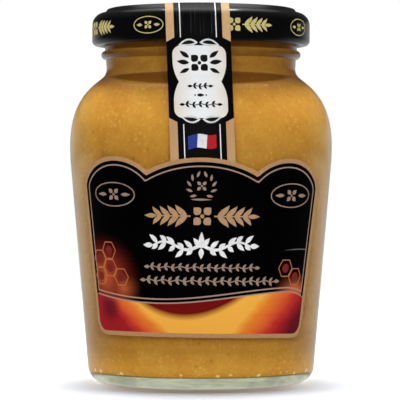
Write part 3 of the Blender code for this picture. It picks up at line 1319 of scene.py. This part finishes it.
@dataclass
class Jar:
    """The glass and what fills it. The sizes are those of the frame's solids, with finer curves."""

    ring_inner: float = 22.4
    ring_outer: float = 24.94
    heel_round: float = 4.0
    hollow_radius: float = 20.0
    hollow_edge: float = 1.1
    hollow_height: float = 1.8
    cone_radius: float = 33.43
    cone_height: float = 57.0
    body_radius: float = 33.5
    body_height: float = 59.8
    shoulder_radius: float = 26.8
    shoulder_height: float = 76.3
    shoulder_slope: float = 38.0
    lower_pull: float = 4.5
    upper_pull: float = 8.0
    neck_radius: float = 24.15
    neck_fillet: float = 3.2
    bead_height: float = 83.4
    bead_round: float = 1.1
    bead_radius: float = 25.5
    mouth_radius: float = 24.55
    mouth_height: float = 92.9
    mouth_round: float = 0.9
    wall: float = 2.3
    floor_edge: float = 2.9
    floor_middle: float = 4.4
    floor_round: float = 3.6
    floor_steps: int = 6
    mustard_height: float = 88.0
    sides: int = 480
    knurls: int = 120
    knurl_depth: float = 0.3
    knurl_reach: float = 0.08
    seam_height: float = 0.05
    into_wall: float = 0.05
    finest: float = 3.2

    def heel(self) -> list[Vector]:
        """The heel, from the foot of the cone down to the ring that the jar stands on.

        Returns:
            Its points of radius and height.
        """
        rise = self.cone_height - self.heel_round
        lean = math.degrees(math.atan2(self.cone_radius - self.ring_outer - self.heel_round, rise))
        return arc((self.ring_outer, self.heel_round), self.heel_round, -lean, -90.0, 12)

    def body_path(self) -> list[Vector]:
        """The outside of the glass, from the top of the heel to the foot of the bead.

        Returns:
            Its points of radius and height, from low to high.
        """
        slope = math.radians(self.shoulder_slope)
        along = Vector((-math.cos(slope), math.sin(slope)))
        end = Vector((self.shoulder_radius, self.shoulder_height))
        shoulder = bezier(
            Vector((self.body_radius, self.body_height)),
            Vector((self.body_radius, self.body_height + self.lower_pull)),
            end - along * self.upper_pull,
            end,
            24,
        )
        drawn_in = self.shoulder_radius - self.neck_radius - self.neck_fillet * (1.0 - math.sin(slope))
        start = end + along * (drawn_in / math.cos(slope))
        height = start.y + self.neck_fillet * math.cos(slope)
        turn = 90.0 - self.shoulder_slope
        fillet = arc((self.neck_radius + self.neck_fillet, height), self.neck_fillet, 180.0 + turn, 180.0, 8)
        cone = [self.heel()[0], Vector((self.cone_radius, self.cone_height))]
        return divided(cone, self.finest) + shoulder + fillet

    def inner_path(self, inset: float) -> list[Vector]:
        """The inside of the glass.

        Args:
            inset: How far it is moved inwards, or outwards if below 0.

        Returns:
            The path from the middle of the floor to the neck.
        """
        wall = offset_path(self.body_path(), -(self.wall + inset))
        height = self.floor_edge + self.floor_round
        radius = radius_at(wall, height + inset) - (self.floor_round - inset)
        corner = arc((radius, height), self.floor_round - inset, -90.0, -5.0, 10)
        rise = self.floor_middle - self.floor_edge
        floor = []
        for step in range(self.floor_steps):
            share = step / self.floor_steps
            floor.append(Vector((radius * share, self.floor_edge + rise * (1.0 - share**2) + inset)))
        top = corner[-1].y + self.finest / 2.0
        return floor + corner + [point for point in wall if point.y > top]

    def glass_section(self) -> list[Vector]:
        """The section of the glass, from the middle of its floor round to the middle of its underside.

        Returns:
            Its points of radius and height.
        """
        inside = self.inner_path(0.0)
        rim = self.mouth_height - self.mouth_round
        inner_rim = arc((inside[-1].x + self.mouth_round, rim), self.mouth_round, 180.0, 90.0, 5)
        outer_rim = arc((self.mouth_radius - self.mouth_round, rim), self.mouth_round, 90.0, 0.0, 5)
        bead = arc((self.bead_radius - self.bead_round, self.bead_height), self.bead_round, 82.0, -94.0, 14)
        outside = list(reversed(self.body_path()))
        hollow = [
            Vector(((self.ring_outer + self.ring_inner) / 2.0, 0.0)),
            Vector((self.ring_inner, 0.0)),
            Vector((self.hollow_radius, self.hollow_edge)),
            Vector((self.hollow_radius / 2.0, self.hollow_height)),
            Vector((0.0, self.hollow_height)),
        ]
        return inside + inner_rim + outer_rim + bead + outside + self.heel()[1:] + hollow

    def mustard_section(self) -> list[Vector]:
        """The mustard up to its level, just into the wall so that no gap shows.

        Returns:
            Its points of radius and height.
        """
        side = [point for point in self.inner_path(-self.into_wall) if point.y < self.mustard_height]
        top = [Vector((0.0, self.mustard_height)), Vector((side[-1].x, self.mustard_height))]
        return top + list(reversed(side))

    def cut_knurls(self, glass: bmesh.types.BMesh) -> None:
        """Cut grooves into the ring that the jar stands on.

        Args:
            glass: The turned glass.
        """
        for corner in glass.verts:
            radius = math.hypot(corner.co.x, corner.co.y)
            if corner.co.z < self.knurl_reach and radius > self.ring_inner - 0.1:
                angle = math.atan2(corner.co.y, corner.co.x)
                groove = 0.5 - 0.5 * math.cos(angle * self.knurls)
                corner.co.z += self.knurl_depth * groove

    def raise_seams(self, glass: bmesh.types.BMesh) -> None:
        """Raise the two mould seams, never beyond the body's full width.

        Args:
            glass: The turned glass.
        """
        outside = self.body_path()
        for corner in glass.verts:
            angle = math.atan2(corner.co.y, corner.co.x)
            on_seam = abs(math.sin(angle)) < math.pi / self.sides
            if on_seam and self.heel_round < corner.co.z < self.shoulder_height:
                radius = math.hypot(corner.co.x, corner.co.y)
                if radius > radius_at(outside, corner.co.z) - self.wall / 2.0:
                    ridge = min(radius + self.seam_height, self.body_radius)
                    corner.co.x = math.copysign(ridge, corner.co.x)

    def build(self) -> None:
        """Make the glass, with its knurled foot and its two mould seams, and the mustard."""
        glass = turned(self.glass_section(), self.sides)
        self.cut_knurls(glass)
        self.raise_seams(glass)
        piece = finished("jar_glass", glass, GlassFinish().material(), Slot.GLASS, "glass_jar")
        piece.visible_shadow = False
        mustard = turned(self.mustard_section(), self.sides // 2)
        finished("mustard_fill", mustard, MustardFinish().material(), Slot.MUSTARD, "mustard")


@dataclass
class Cap:
    """The twist cap: a skirt with a rolled edge, a round shoulder, a raised rim and a lower panel."""

    sheet: float = 1.0
    curl_height: float = 85.75
    curl_round: float = 1.3
    skirt_radius: float = 27.83
    skirt_height: float = 91.0
    shoulder_round: float = 3.2
    rim_foot: float = 24.6
    rim_radius: float = 23.2
    rim_height: float = 95.3
    rim_round: float = 0.2
    panel_radius: float = 21.2
    panel_height: float = 94.85
    panel_step: float = 0.9
    button_radius: float = 9.0
    button_height: float = 95.1
    button_step: float = 1.2
    sides: int = 360
    print_height: float = 89.85
    print_tall: float = 4.3
    quarters: int = 4
    garland_angle: float = 17.0
    garland_length: float = 21.5
    garland_leaves: int = 4
    frame_angle: float = 62.0
    frame: FramedFlower = FramedFlower(4.1, 2.05, 0.22, 1.25, 0.8, 1.6, 1.7, 0.7)

    def top(self) -> list[Vector]:
        """The outside, from the middle of the top to the head of the skirt.

        Returns:
            Its points of radius and height.
        """
        crown = [
            Vector((0.0, self.button_height)),
            Vector((self.button_radius, self.button_height)),
            Vector((self.button_radius + self.button_step, self.panel_height)),
            Vector((self.panel_radius, self.panel_height)),
            Vector((self.panel_radius + self.panel_step, self.rim_height)),
            Vector((self.rim_radius, self.rim_height)),
            Vector(((self.rim_radius + self.rim_foot) / 2.0, self.rim_height - self.rim_round)),
        ]
        shoulder = arc(
            (self.skirt_radius - self.shoulder_round, self.skirt_height), self.shoulder_round, 90.0, 0.0, 18
        )
        return crown + shoulder

    def curl(self) -> list[Vector]:
        """The rolled edge, from the foot of the skirt round to its inner side."""
        centre = (self.skirt_radius - self.curl_round, self.curl_height + self.curl_round)
        return arc(centre, self.curl_round, 0.0, -180.0, 16)

    def section(self) -> list[Vector]:
        """The closed section of the cap.

        Returns:
            Its points of radius and height.
        """
        inner = self.skirt_radius - self.sheet
        under = self.skirt_height + self.shoulder_round - self.sheet
        inside = [
            Vector((inner, self.curl_height + 2.0 * self.curl_round)),
            Vector((inner, self.skirt_height)),
            Vector((self.skirt_radius - self.shoulder_round, under)),
            Vector((self.panel_radius, under)),
            Vector((self.panel_radius - self.panel_step, self.panel_height - self.sheet)),
            Vector((0.0, self.panel_height - self.sheet)),
        ]
        return self.top() + self.curl() + inside

    def on_skirt(self, across: float, up: float, lift: float) -> Vector:
        """Lay a place of the cap's print on the skirt and its shoulder.

        Args:
            across: The way round the skirt, from the front.
            up: The height.
            lift: The distance above the enamel.

        Returns:
            The point.
        """
        radius = self.skirt_radius + lift
        if up > self.skirt_height:
            above = up - self.skirt_height
            radius += math.sqrt(self.shoulder_round**2 - above**2) - self.shoulder_round
        angle = across / self.skirt_radius
        return Vector((radius * math.sin(angle), -radius * math.cos(angle), up))

    def build(self) -> None:
        """Make the cap and the pale gold print round its skirt."""
        enamel = EnamelFinish().material()
        finished("cap_shell", turned(self.section(), self.sides), enamel, Slot.CAP, "lid")
        gold = Artwork()
        for quarter in range(self.quarters):
            turn = 360.0 / self.quarters * quarter
            middle = math.radians(self.garland_angle + turn) * self.skirt_radius
            spot = (middle, self.print_height)
            gold.garland(spot, self.garland_length, self.print_tall, self.garland_leaves)
            middle = math.radians(self.frame_angle + turn) * self.skirt_radius
            gold.framed_flower((middle, self.print_height), self.frame)
        ink = InkFinish("pale_gold_ink", screen(222, 206, 134)).material()
        finished("cap_print", gold.laid(self.on_skirt, 0.0, INK_THICKNESS), ink, Slot.CAP)


@dataclass
class Label:
    """The front label, with three arches along its top. Widths run round the jar."""

    jar: Jar
    wrap: float = 32.0
    half_width: float = 33.5
    narrowing: float = 0.001
    flare: float = 1.15e-4
    flare_foot: float = 17.0
    tilt: float = math.radians(0.8)
    lean: float = math.radians(1.38)
    shift: float = -0.168
    pivot: float = 35.0
    foot: float = 13.1
    foot_drop: float = 0.45
    foot_round: float = 4.0
    middle_top: float = 57.1
    middle_round: float = 29.26
    side_top: float = 57.15
    side_round: float = 12.97
    side_place: float = 22.2
    corner_round: float = 5.0
    notch_place: float = 13.5
    notch_column: float = 0.375
    columns: int = 192
    rows: int = 110
    lift: float = 0.03
    paper: float = 0.1
    over_seal: float = 0.13
    over_ramp: Ramp = (53.6, 54.8)
    over_place: float = 0.6
    over_side_ramp: Ramp = (9.4, 8.1)
    garland_place: Flat = (0.3, 42.85)
    garland_size: Flat = (29.0, 5.8)
    wreath_place: Flat = (0.0, 50.1)
    wreath_radius: float = 2.5
    frame_places: tuple[Flat, ...] = ((-22.95, 47.8), (23.7, 48.1))
    frame: FramedFlower = FramedFlower(6.05, 2.9, 0.26, 1.9, 1.1, 2.2, 2.7, 0.9)
    scroll_place: Flat = (0.25, 35.6)
    scroll_size: Flat = (30.0, 6.4)
    cell_size: float = 2.5
    left_cells: Flat = (-29.6, 27.4)
    right_cells: Flat = (27.9, 28.0)

    def __post_init__(self) -> None:
        """Work out the path of the glass that carries the label."""
        self.glass = self.jar.body_path()

    def corner_centre(self) -> Vector:
        """The centre of the round corner at the outer end of a side arch.

        Returns:
            Its place across and up the label.
        """
        across = self.half_width - self.corner_round - self.side_place
        span = self.side_round - self.corner_round
        above = math.sqrt(span**2 - across**2)
        return Vector((across + self.side_place, self.side_top - self.side_round + above))

    def top(self, across: float) -> float:
        """The top edge, with its three arches.

        Args:
            across: The distance from the middle line.

        Returns:
            The height of the edge there.
        """
        reach = abs(across)
        if reach <= self.notch_place:
            return self.middle_top - self.middle_round + math.sqrt(self.middle_round**2 - reach**2)
        corner = self.corner_centre()
        from_arch = corner.x - self.side_place
        if reach <= self.side_place + self.side_round * from_arch / (self.side_round - self.corner_round):
            above = math.sqrt(self.side_round**2 - (reach - self.side_place) ** 2)
            return self.side_top - self.side_round + above
        beyond = min(reach - corner.x, self.corner_round)
        return corner.y + math.sqrt(self.corner_round**2 - beyond**2)

    def bottom(self, across: float) -> float:
        """The bottom edge, with its round corners.

        Args:
            across: The distance from the middle line.

        Returns:
            The height of the edge there.
        """
        reach = abs(across)
        height = self.foot - self.foot_drop * (reach / self.half_width) ** 2
        corner = self.half_width - self.foot_round
        if reach > corner:
            beyond = min(reach - corner, self.foot_round)
            height += self.foot_round - math.sqrt(self.foot_round**2 - beyond**2)
        return height

    def edge_distance(self, across: float, up: float) -> float:
        """How far a place of the label lies inside its edge.

        Args:
            across: The distance from the middle line.
            up: The height.

        Returns:
            The distance, never below 0.
        """
        place = Vector((abs(across), up))
        foot = self.foot - self.foot_drop * (place.x / self.half_width) ** 2
        nearest = min(self.half_width - place.x, up - foot)
        arch = Vector((self.side_place, self.side_top - self.side_round))
        middle = Vector((0.0, self.middle_top - self.middle_round))
        corner = self.corner_centre()
        low_corner = Vector((self.half_width - self.foot_round, foot + self.foot_round))
        if up > arch.y:
            in_side = self.side_round - (place - arch).length
            in_middle = self.middle_round - (place - middle).length
            nearest = min(nearest, max(in_side, in_middle))
        outwards = place - corner
        if place.x > corner.x and up > corner.y and (corner - arch).cross(outwards) < 0.0:
            nearest = self.corner_round - outwards.length
        if place.x > low_corner.x and up < low_corner.y:
            nearest = self.foot_round - (place - low_corner).length
        return max(0.0, nearest)

    def on_jar(self, across: float, up: float, lift: float) -> Vector:
        """Lay a place of the label on the glass: narrowed downwards, tilted, and raised over the seal.

        Args:
            across: The distance from the label's middle line.
            up: The height on the label.
            lift: The distance above the glass.

        Returns:
            The point.
        """
        narrowed = across * (1.0 - self.narrowing * (self.jar.cone_height - up))
        beyond = max(0.0, abs(across) - self.notch_place)
        narrowed += math.copysign(self.flare * max(0.0, up - self.flare_foot) * beyond * beyond, across)
        place = narrowed + (up - self.pivot) * math.sin(self.lean) + self.shift
        height = up - narrowed * math.sin(self.tilt)
        over = ease(up, *self.over_ramp) * ease(abs(across - self.over_place), *self.over_side_ramp)
        radius = radius_at(self.glass, height) + lift + self.over_seal * over
        angle = place / self.wrap
        return Vector((radius * math.sin(angle), -radius * math.cos(angle), height))

    def column(self, share: float) -> float:
        """Place a column of the grid, so that one falls on each notch.

        Args:
            share: The column, from -1 to 1.

        Returns:
            Its place across the label.
        """
        reach = abs(share)
        if reach <= self.notch_column:
            place = self.notch_place * reach / self.notch_column
        else:
            beyond = (reach - self.notch_column) / (1.0 - self.notch_column)
            place = self.notch_place + (self.half_width - self.notch_place) * math.sin(beyond * math.pi / 2.0)
        return math.copysign(place, share)

    def build(self) -> None:
        """Make the paper and the printed ornaments that stand on it."""
        sheet = Artwork()

        def where(x: float, y: float) -> Flat:
            """Place a grid corner between the bottom edge and the top edge.

            Args:
                x: The column, from -1 to 1.
                y: The row, from -1 to 1.

            Returns:
                The corner's place on the label.
            """
            across = self.column(x)
            low, high = self.bottom(across), self.top(across)
            return across, low + (high - low) * (y + 1.0) / 2.0

        sheet.patch(self.columns, self.rows, where)
        for corner in sheet.shape.verts:
            corner[sheet.kept] = (corner.co.x, corner.co.y, self.edge_distance(corner.co.x, corner.co.y))
        paper = sheet.laid(self.on_jar, self.lift, self.paper)
        finished("front_label_paper", paper, LabelPrint().material(), Slot.LABEL, "front_label")
        self.build_tan_print()
        self.build_white_print()
        self.build_cells()

    def raised(self, name: str, art: Artwork, ink: InkFinish) -> None:
        """Lay an ornament on the paper."""
        shape = art.laid(self.on_jar, self.lift + self.paper, INK_THICKNESS)
        finished(name, shape, ink.material(), Slot.LABEL)

    def build_tan_print(self) -> None:
        """Make the garland, the wreath above it, the two vines and the two framed flowers."""
        bold = Artwork()
        bold.garland(self.garland_place, *self.garland_size, 4)
        self.raised("label_garland", bold, InkFinish("tan_ink", screen(186, 146, 106)))
        fine = Artwork()
        middle, up = self.wreath_place
        for side in SIDES:
            for step in range(5):
                angle = -62.0 + 31.0 * step
                out = heading(angle) * self.wreath_radius
                way = angle + 52.0 if side > 0.0 else 180.0 - angle - 52.0
                fine.leaf((middle + side * out.x, up + out.y), way, 1.7, 0.62)
        fine.blossom((0.0, 50.2), 1.5, 0.8)
        fine.leaf((-2.6, 46.9), 0.0, 5.2, 0.5)
        fine.vine((0.6, 30.3), 31.0, 2.1, 15)
        fine.vine((3.1, 27.0), 38.6, 2.3, 18)
        for spot in self.frame_places:
            fine.framed_flower(spot, self.frame)
        self.raised("label_fine_ornaments", fine, InkFinish("grey_tan_ink", screen(164, 136, 118)))

    def build_white_print(self) -> None:
        """Make the white scroll of leaves."""
        art = Artwork()
        art.scroll(self.scroll_place, *self.scroll_size)
        self.raised("label_white_scroll", art, InkFinish("white_ink", screen(240, 238, 236)))

    def build_cells(self) -> None:
        """Make a few honeycomb cells in the lower corners of the black field."""
        line = Artwork()
        fill = Artwork()
        size = self.cell_size
        step_across, step_up = size * 1.5, size * math.sqrt(3.0)
        left = ((0, 0), (1, 0), (2, 0), (0, 1), (1, 1))
        right = ((0, 0), (-1, 0))
        for (base_across, base_up), cells in ((self.left_cells, left), (self.right_cells, right)):
            for column, row in cells:
                across = base_across + column * step_across
                up = base_up + row * step_up + (column % 2) * step_up / 2.0
                line.ring((across, up), size * 0.93, size * 0.93, 0.24, 6)
                fill.disc((across, up), size * 0.45)
        self.raised("label_cell_lines", line, InkFinish("amber_ink", screen(196, 112, 62)))
        self.raised("label_cell_drops", fill, InkFinish("red_honey_ink", screen(128, 34, 20)))


@dataclass
class Seal:
    """The seal: a ribbon pulled tight from under the label, over the cap and down the back."""

    jar: Jar
    cap: Cap
    half_width: float = 7.9
    end_height: float = 57.0
    tucked: float = 2.0
    foot_place: float = 0.5
    lean: float = math.radians(2.15)
    lift: float = 0.03
    paper: float = 0.1
    finest: float = 0.6
    columns: int = 28
    crease_height: float = 0.07
    crease_middle: float = 93.5
    crease_reach: float = 7.0
    flower_height: float = 80.2
    vine_height: float = 74.5
    bud_height: float = 72.3
    low_vine_height: float = 70.0
    head_height: float = 85.2
    foot_height: float = 66.4
    flag_height: float = 61.0
    flag_size: Flat = (6.9, 3.3)
    black: Colour = (0.004, 0.0035, 0.003, 1.0)

    def __post_init__(self) -> None:
        """Work out the ribbon's path as runs, signed radii, heights and normals."""
        front = offset_path(divided(self.taut_path(), self.finest), self.lift)
        sides = normals(front)
        along = [(-point.x, point.y, side) for point, side in zip(front, sides)]
        behind = [(point.x, point.y, side) for point, side in zip(front, sides) if point.y >= self.end_height]
        self.stations = along + list(reversed(behind[:-1]))
        self.runs = [0.0]
        for (radius, height, _), (next_radius, next_height, _) in zip(self.stations, self.stations[1:]):
            self.runs.append(self.runs[-1] + math.hypot(next_radius - radius, next_height - height))
        tucked = self.run_at(self.end_height)
        self.runs = [run - tucked for run in self.runs]
        self.bend = self.run_at(self.crease_middle)

    def taut_path(self) -> list[Vector]:
        """The path of the ribbon's underside, from below the label's edge to the axis.

        Returns:
            Its points of radius and height.
        """
        start = self.end_height - self.tucked
        body = self.jar.body_path()
        glass = [point for point in body if point.y > start]
        cap = self.cap.curl()[:1] + list(reversed(self.cap.top()))
        path: list[Vector] = []
        first = Vector((radius_at(body, start), start))
        last = Vector((0.0, self.cap.rim_height))
        for point in [first] + glass + cap + [last]:
            while len(path) > 1 and (path[-1] - path[-2]).cross(point - path[-1]) <= 0.0:
                path.pop()
            path.append(point)
        return path

    def run_at(self, height: float) -> float:
        """The run up the front at which the ribbon reaches a height.

        Args:
            height: The height that is asked for.

        Returns:
            The run, measured from the label's edge.
        """
        for low, high, run, next_run in zip(self.stations, self.stations[1:], self.runs, self.runs[1:]):
            if low[1] <= height <= high[1]:
                return run + (next_run - run) * (height - low[1]) / (high[1] - low[1])
        return self.runs[0]

    def on_seal(self, across: float, run: float, lift: float) -> Vector:
        """Lay a place of the seal on the jar and the cap.

        Args:
            across: The distance from the seal's middle line.
            run: The way along the seal from the label's edge.
            lift: The distance above the ribbon's path.

        Returns:
            The point.
        """
        index = min(max(bisect.bisect_right(self.runs, run), 1), len(self.runs) - 1)
        low, high = self.stations[index - 1], self.stations[index]
        share = (run - self.runs[index - 1]) / (self.runs[index] - self.runs[index - 1])
        side = low[2].lerp(high[2], share)
        lift += self.crease(across, run)
        radius = low[0] + (high[0] - low[0]) * share
        radius += math.copysign(side.x * lift, radius)
        height = low[1] + (high[1] - low[1]) * share + side.y * lift
        x = self.foot_place - run * math.tan(self.lean) + across
        round_part = max(abs(radius), self.cap.rim_radius)
        return Vector((x, radius / round_part * math.sqrt(round_part**2 - x * x), height))

    def crease(self, across: float, run: float) -> float:
        """The small upright creases where the ribbon bends over the cap.

        Args:
            across: The distance from the seal's middle line.
            run: The way along the seal.

        Returns:
            How far the paper stands up there.
        """
        near = math.exp(-(((run - self.bend) / self.crease_reach) ** 2))
        wave = noise.noise(Vector((across * 0.9, run * 0.05, 3.0)))
        ripple = noise.noise(Vector((across * 2.1, 7.0, 0.0)))
        return self.crease_height * near * max(0.0, wave + 0.5 * ripple)

    def build(self) -> None:
        """Make the paper and the ornaments printed on it."""
        sheet = Artwork()
        first, last = self.runs[0], self.runs[-1]
        rows = round((last - first) / self.finest)
        sheet.patch(
            self.columns, rows, lambda x, y: (x * self.half_width, first + (last - first) * (y + 1.0) / 2.0)
        )
        paper = sheet.laid(self.on_seal, 0.0, self.paper)
        finished("seal_paper_strip", paper, SealPrint().material(self), Slot.SEAL, "seal_strip")
        self.build_black_print()
        self.build_white_print()
        self.build_flag()

    def raised(self, name: str, art: Artwork, ink: InkFinish, lift: float = 0.0) -> None:
        """Lay an ornament on the paper."""
        shape = art.laid(self.on_seal, self.paper + lift, INK_THICKNESS)
        finished(name, shape, ink.material(), Slot.SEAL)

    def build_black_print(self) -> None:
        """Make the plaque's flower among leaves, its bud and its two small vines."""
        art = Artwork()
        upper = self.run_at(self.flower_height)
        art.blossom((0.0, upper), 2.7, 2.0)
        for side in SIDES:
            leaves = ((1.3, 38.0, 2.9, 1.1), (0.0, 8.0, 3.1, 1.2), (-1.4, -26.0, 2.7, 1.0))
            for up, turn, length, width in leaves:
                angle = turn if side > 0.0 else 180.0 - turn
                art.leaf((side * 2.5, upper + up), angle, length, width)
        art.vine((0.0, self.run_at(self.vine_height)), 6.4, 1.7, 3)
        bud = self.run_at(self.bud_height)
        art.leaf((-0.9, bud), 0.0, 1.8, 0.8)
        art.disc((-1.35, bud), 0.2)
        art.disc((1.35, bud), 0.2)
        art.vine((0.0, self.run_at(self.low_vine_height)), 10.6, 1.8, 5)
        self.raised("seal_black_ornaments", art, InkFinish("black_ink", self.black))

    def build_white_print(self) -> None:
        """Make the pairs of leaves at the plaque's head and foot."""
        white = Artwork()
        black = Artwork()
        for height, side_up in ((self.head_height, 1.0), (self.foot_height, -1.0)):
            run = self.run_at(height)
            for side in SIDES:
                angle = level_way(side) - side * side_up * 8.0
                white.leaf((side * 0.2, run), angle, 4.9, 1.9, side * side_up * 0.35)
                black.leaf((side * 0.9, run), angle, 3.5, 0.95, side * side_up * 0.3)
        self.raised("seal_white_leaves", white, InkFinish("seal_white_ink", screen(240, 240, 240)))
        self.raised("seal_leaf_hearts", black, InkFinish("seal_black_ink", self.black), INK_THICKNESS)

    def build_flag(self) -> None:
        """Make the small waving tricolour."""
        bands = (
            ("blue", screen(46, 62, 150)),
            ("white", screen(238, 240, 240)),
            ("red", screen(196, 24, 38)),
        )
        middle = self.run_at(self.flag_height)
        width, height = self.flag_size
        for place, (name, colour) in enumerate(bands):
            art = Artwork()

            def where(x: float, y: float, first: int = place) -> Flat:
                """Place a grid corner of one band of the flag, which waves and climbs to the right.

                Args:
                    x: The way across the band, from -1 to 1.
                    y: The way up it, from -1 to 1.
                    first: The band's number.

                Returns:
                    The corner's place on the seal.
                """
                share = (first + (x + 1.0) / 2.0) / len(bands)
                climb = 0.5 * (share - 0.5) + 0.28 * math.sin((share - 0.08) * math.tau)
                slant = 0.45 * y * (0.5 - abs(share - 0.5))
                return -0.05 + (share - 0.5) * width + slant, middle + climb + y * height / 2.0

            art.patch(8, 8, where)
            self.raised("seal_flag_" + name, art, InkFinish("flag_" + name, colour))


# The studio


@dataclass
class Studio:
    """A pale floor, soft light and the camera. Distances are in metres."""

    lens: float = 216.0
    sensor: float = 36.0
    camera_place: Place = (-0.00024, -0.6156, 0.05458)
    camera_pitch: float = 0.764
    floor_size: float = 0.9
    floor_drop: float = 0.00002
    floor_tint: Colour = (0.8, 0.84, 0.89, 1.0)
    overhead_power: float = 15.4
    overhead_width: float = 0.5
    overhead_depth: float = 0.42
    overhead_place: Place = (0.0, 0.17, 1.0)
    front_power: float = 5.3
    front_size: float = 0.6
    front_place: Place = (0.0, -1.25, 0.3)
    dome: float = 1.5
    fill: float = 0.09
    backdrop: float = 0.55
    table: float = 0.6
    front: float = 0.02
    lamp_shine: float = 0.03
    aim_height: float = 0.05
    dome_way: Flat = (0.42, 0.9075)
    dome_ramp: Ramp = (0.84, 0.97)
    fill_ramp: Ramp = (0.25, 0.6)
    backdrop_ramp: Ramp = (0.55, 0.92)
    gap_ramp: Ramp = (0.12, 0.4)
    level_ramp: Ramp = (0.04, 0.15)
    table_ramp: Ramp = (-0.1, 0.8)
    table_edge_ramp: Ramp = (0.0, 0.05)

    def camera(self) -> None:
        """The camera at the photograph's viewing angle."""
        data = bpy.data.cameras.new("camera")
        data.lens = self.lens
        data.sensor_width = self.sensor
        data.clip_start = 0.01
        made = bpy.data.objects.new("camera", data)
        made.location = self.camera_place
        made.rotation_euler = (math.radians(90.0 - self.camera_pitch), 0.0, 0.0)
        bpy.context.scene.collection.objects.link(made)
        bpy.context.scene.camera = made

    def floor(self) -> None:
        """A plain pale floor just under the jar."""
        shape = bmesh.new()
        bmesh.ops.create_grid(shape, x_segments=8, y_segments=8, size=self.floor_size / 2.0)
        bmesh.ops.translate(shape, vec=(0.0, 0.0, -self.floor_drop), verts=shape.verts)
        mesh = bpy.data.meshes.new("floor")
        shape.to_mesh(mesh)
        shape.free()
        made, painter = material("pale_floor")
        painter.surface(Base_Color=self.floor_tint, Roughness=0.9, Specular_IOR_Level=0.1)
        mesh.materials.append(made)
        piece = bpy.data.objects.new("floor", mesh)
        bpy.context.scene.collection.objects.link(piece)
        piece.visible_glossy = False

    def soft_box(
        self, name: str, place: Place, width: float, depth: float, power: float
    ) -> None:
        """A lamp that faces the jar and is too soft to show in it.

        Args:
            name: The lamp's name.
            place: Where it stands.
            width: Its length from side to side.
            depth: Its length the other way.
            power: Its power in watts.
        """
        data = bpy.data.lights.new(name, "AREA")
        data.shape = "RECTANGLE"
        data.size = width
        data.size_y = depth
        data.energy = power
        data.specular_factor = self.lamp_shine
        made = bpy.data.objects.new(name, data)
        made.location = place
        aim = Vector(place) - Vector((0.0, 0.0, self.aim_height))
        made.rotation_euler = aim.to_track_quat("Z", "Y").to_euler()
        bpy.context.scene.collection.objects.link(made)

    def light(self) -> None:
        """Soft boxes overhead and in front, and surroundings that are bright above and behind."""
        self.soft_box(
            "overhead", self.overhead_place, self.overhead_width, self.overhead_depth, self.overhead_power
        )
        self.soft_box("front_fill", self.front_place, self.front_size, self.front_size, self.front_power)
        world = bpy.data.worlds.new("studio")
        bpy.context.scene.world = world
        world.use_nodes = True
        painter = Painter(world.node_tree)
        way = painter.node("ShaderNodeTexCoord", {}, {}).outputs["Generated"]
        aside, back, up = painter.split(way)
        above = (back * self.dome_way[0] + up * self.dome_way[1]).rising(*self.dome_ramp) * self.dome
        fill = up.rising(*self.fill_ramp) * self.fill
        beside_gap = 0.6 + 0.4 * abs(aside).rising(*self.gap_ramp)
        behind = back.rising(*self.backdrop_ramp) * beside_gap * self.backdrop
        behind = behind * (1.0 - abs(up).rising(*self.level_ramp) * 0.87)
        table = (back.rising(*self.table_ramp) * (0.0 - up).rising(*self.table_edge_ramp)) * self.table
        level = above.most(fill).most(behind).most(table).most(self.front)
        around = painter.join(level, level, level)
        seen = painter.node("ShaderNodeLightPath", {}, {}).outputs["Is Camera Ray"]
        colour = painter.mix(Field(painter, seen), around, (1.0, 1.0, 1.0, 1.0))
        backdrop = painter.node("ShaderNodeBackground", {}, {"Color": colour, "Strength": 1.0})
        painter.node("ShaderNodeOutputWorld", {}, {"Surface": backdrop.outputs[0]})

    def build(self) -> None:
        """Set up the camera, the floor, the light and the picture's plain tone curve."""
        self.camera()
        self.floor()
        self.light()
        bpy.context.scene.view_settings.view_transform = "Standard"


def main() -> None:
    """Build the studio and the jar's pieces in order."""
    logging.basicConfig(level=logging.INFO, format="%(relativeCreated)d ms  %(message)s")
    Studio().build()
    jar = Jar()
    jar.build()
    cap = Cap()
    cap.build()
    Label(jar).build()
    Seal(jar, cap).build()


if __name__ == "__main__":
    main()
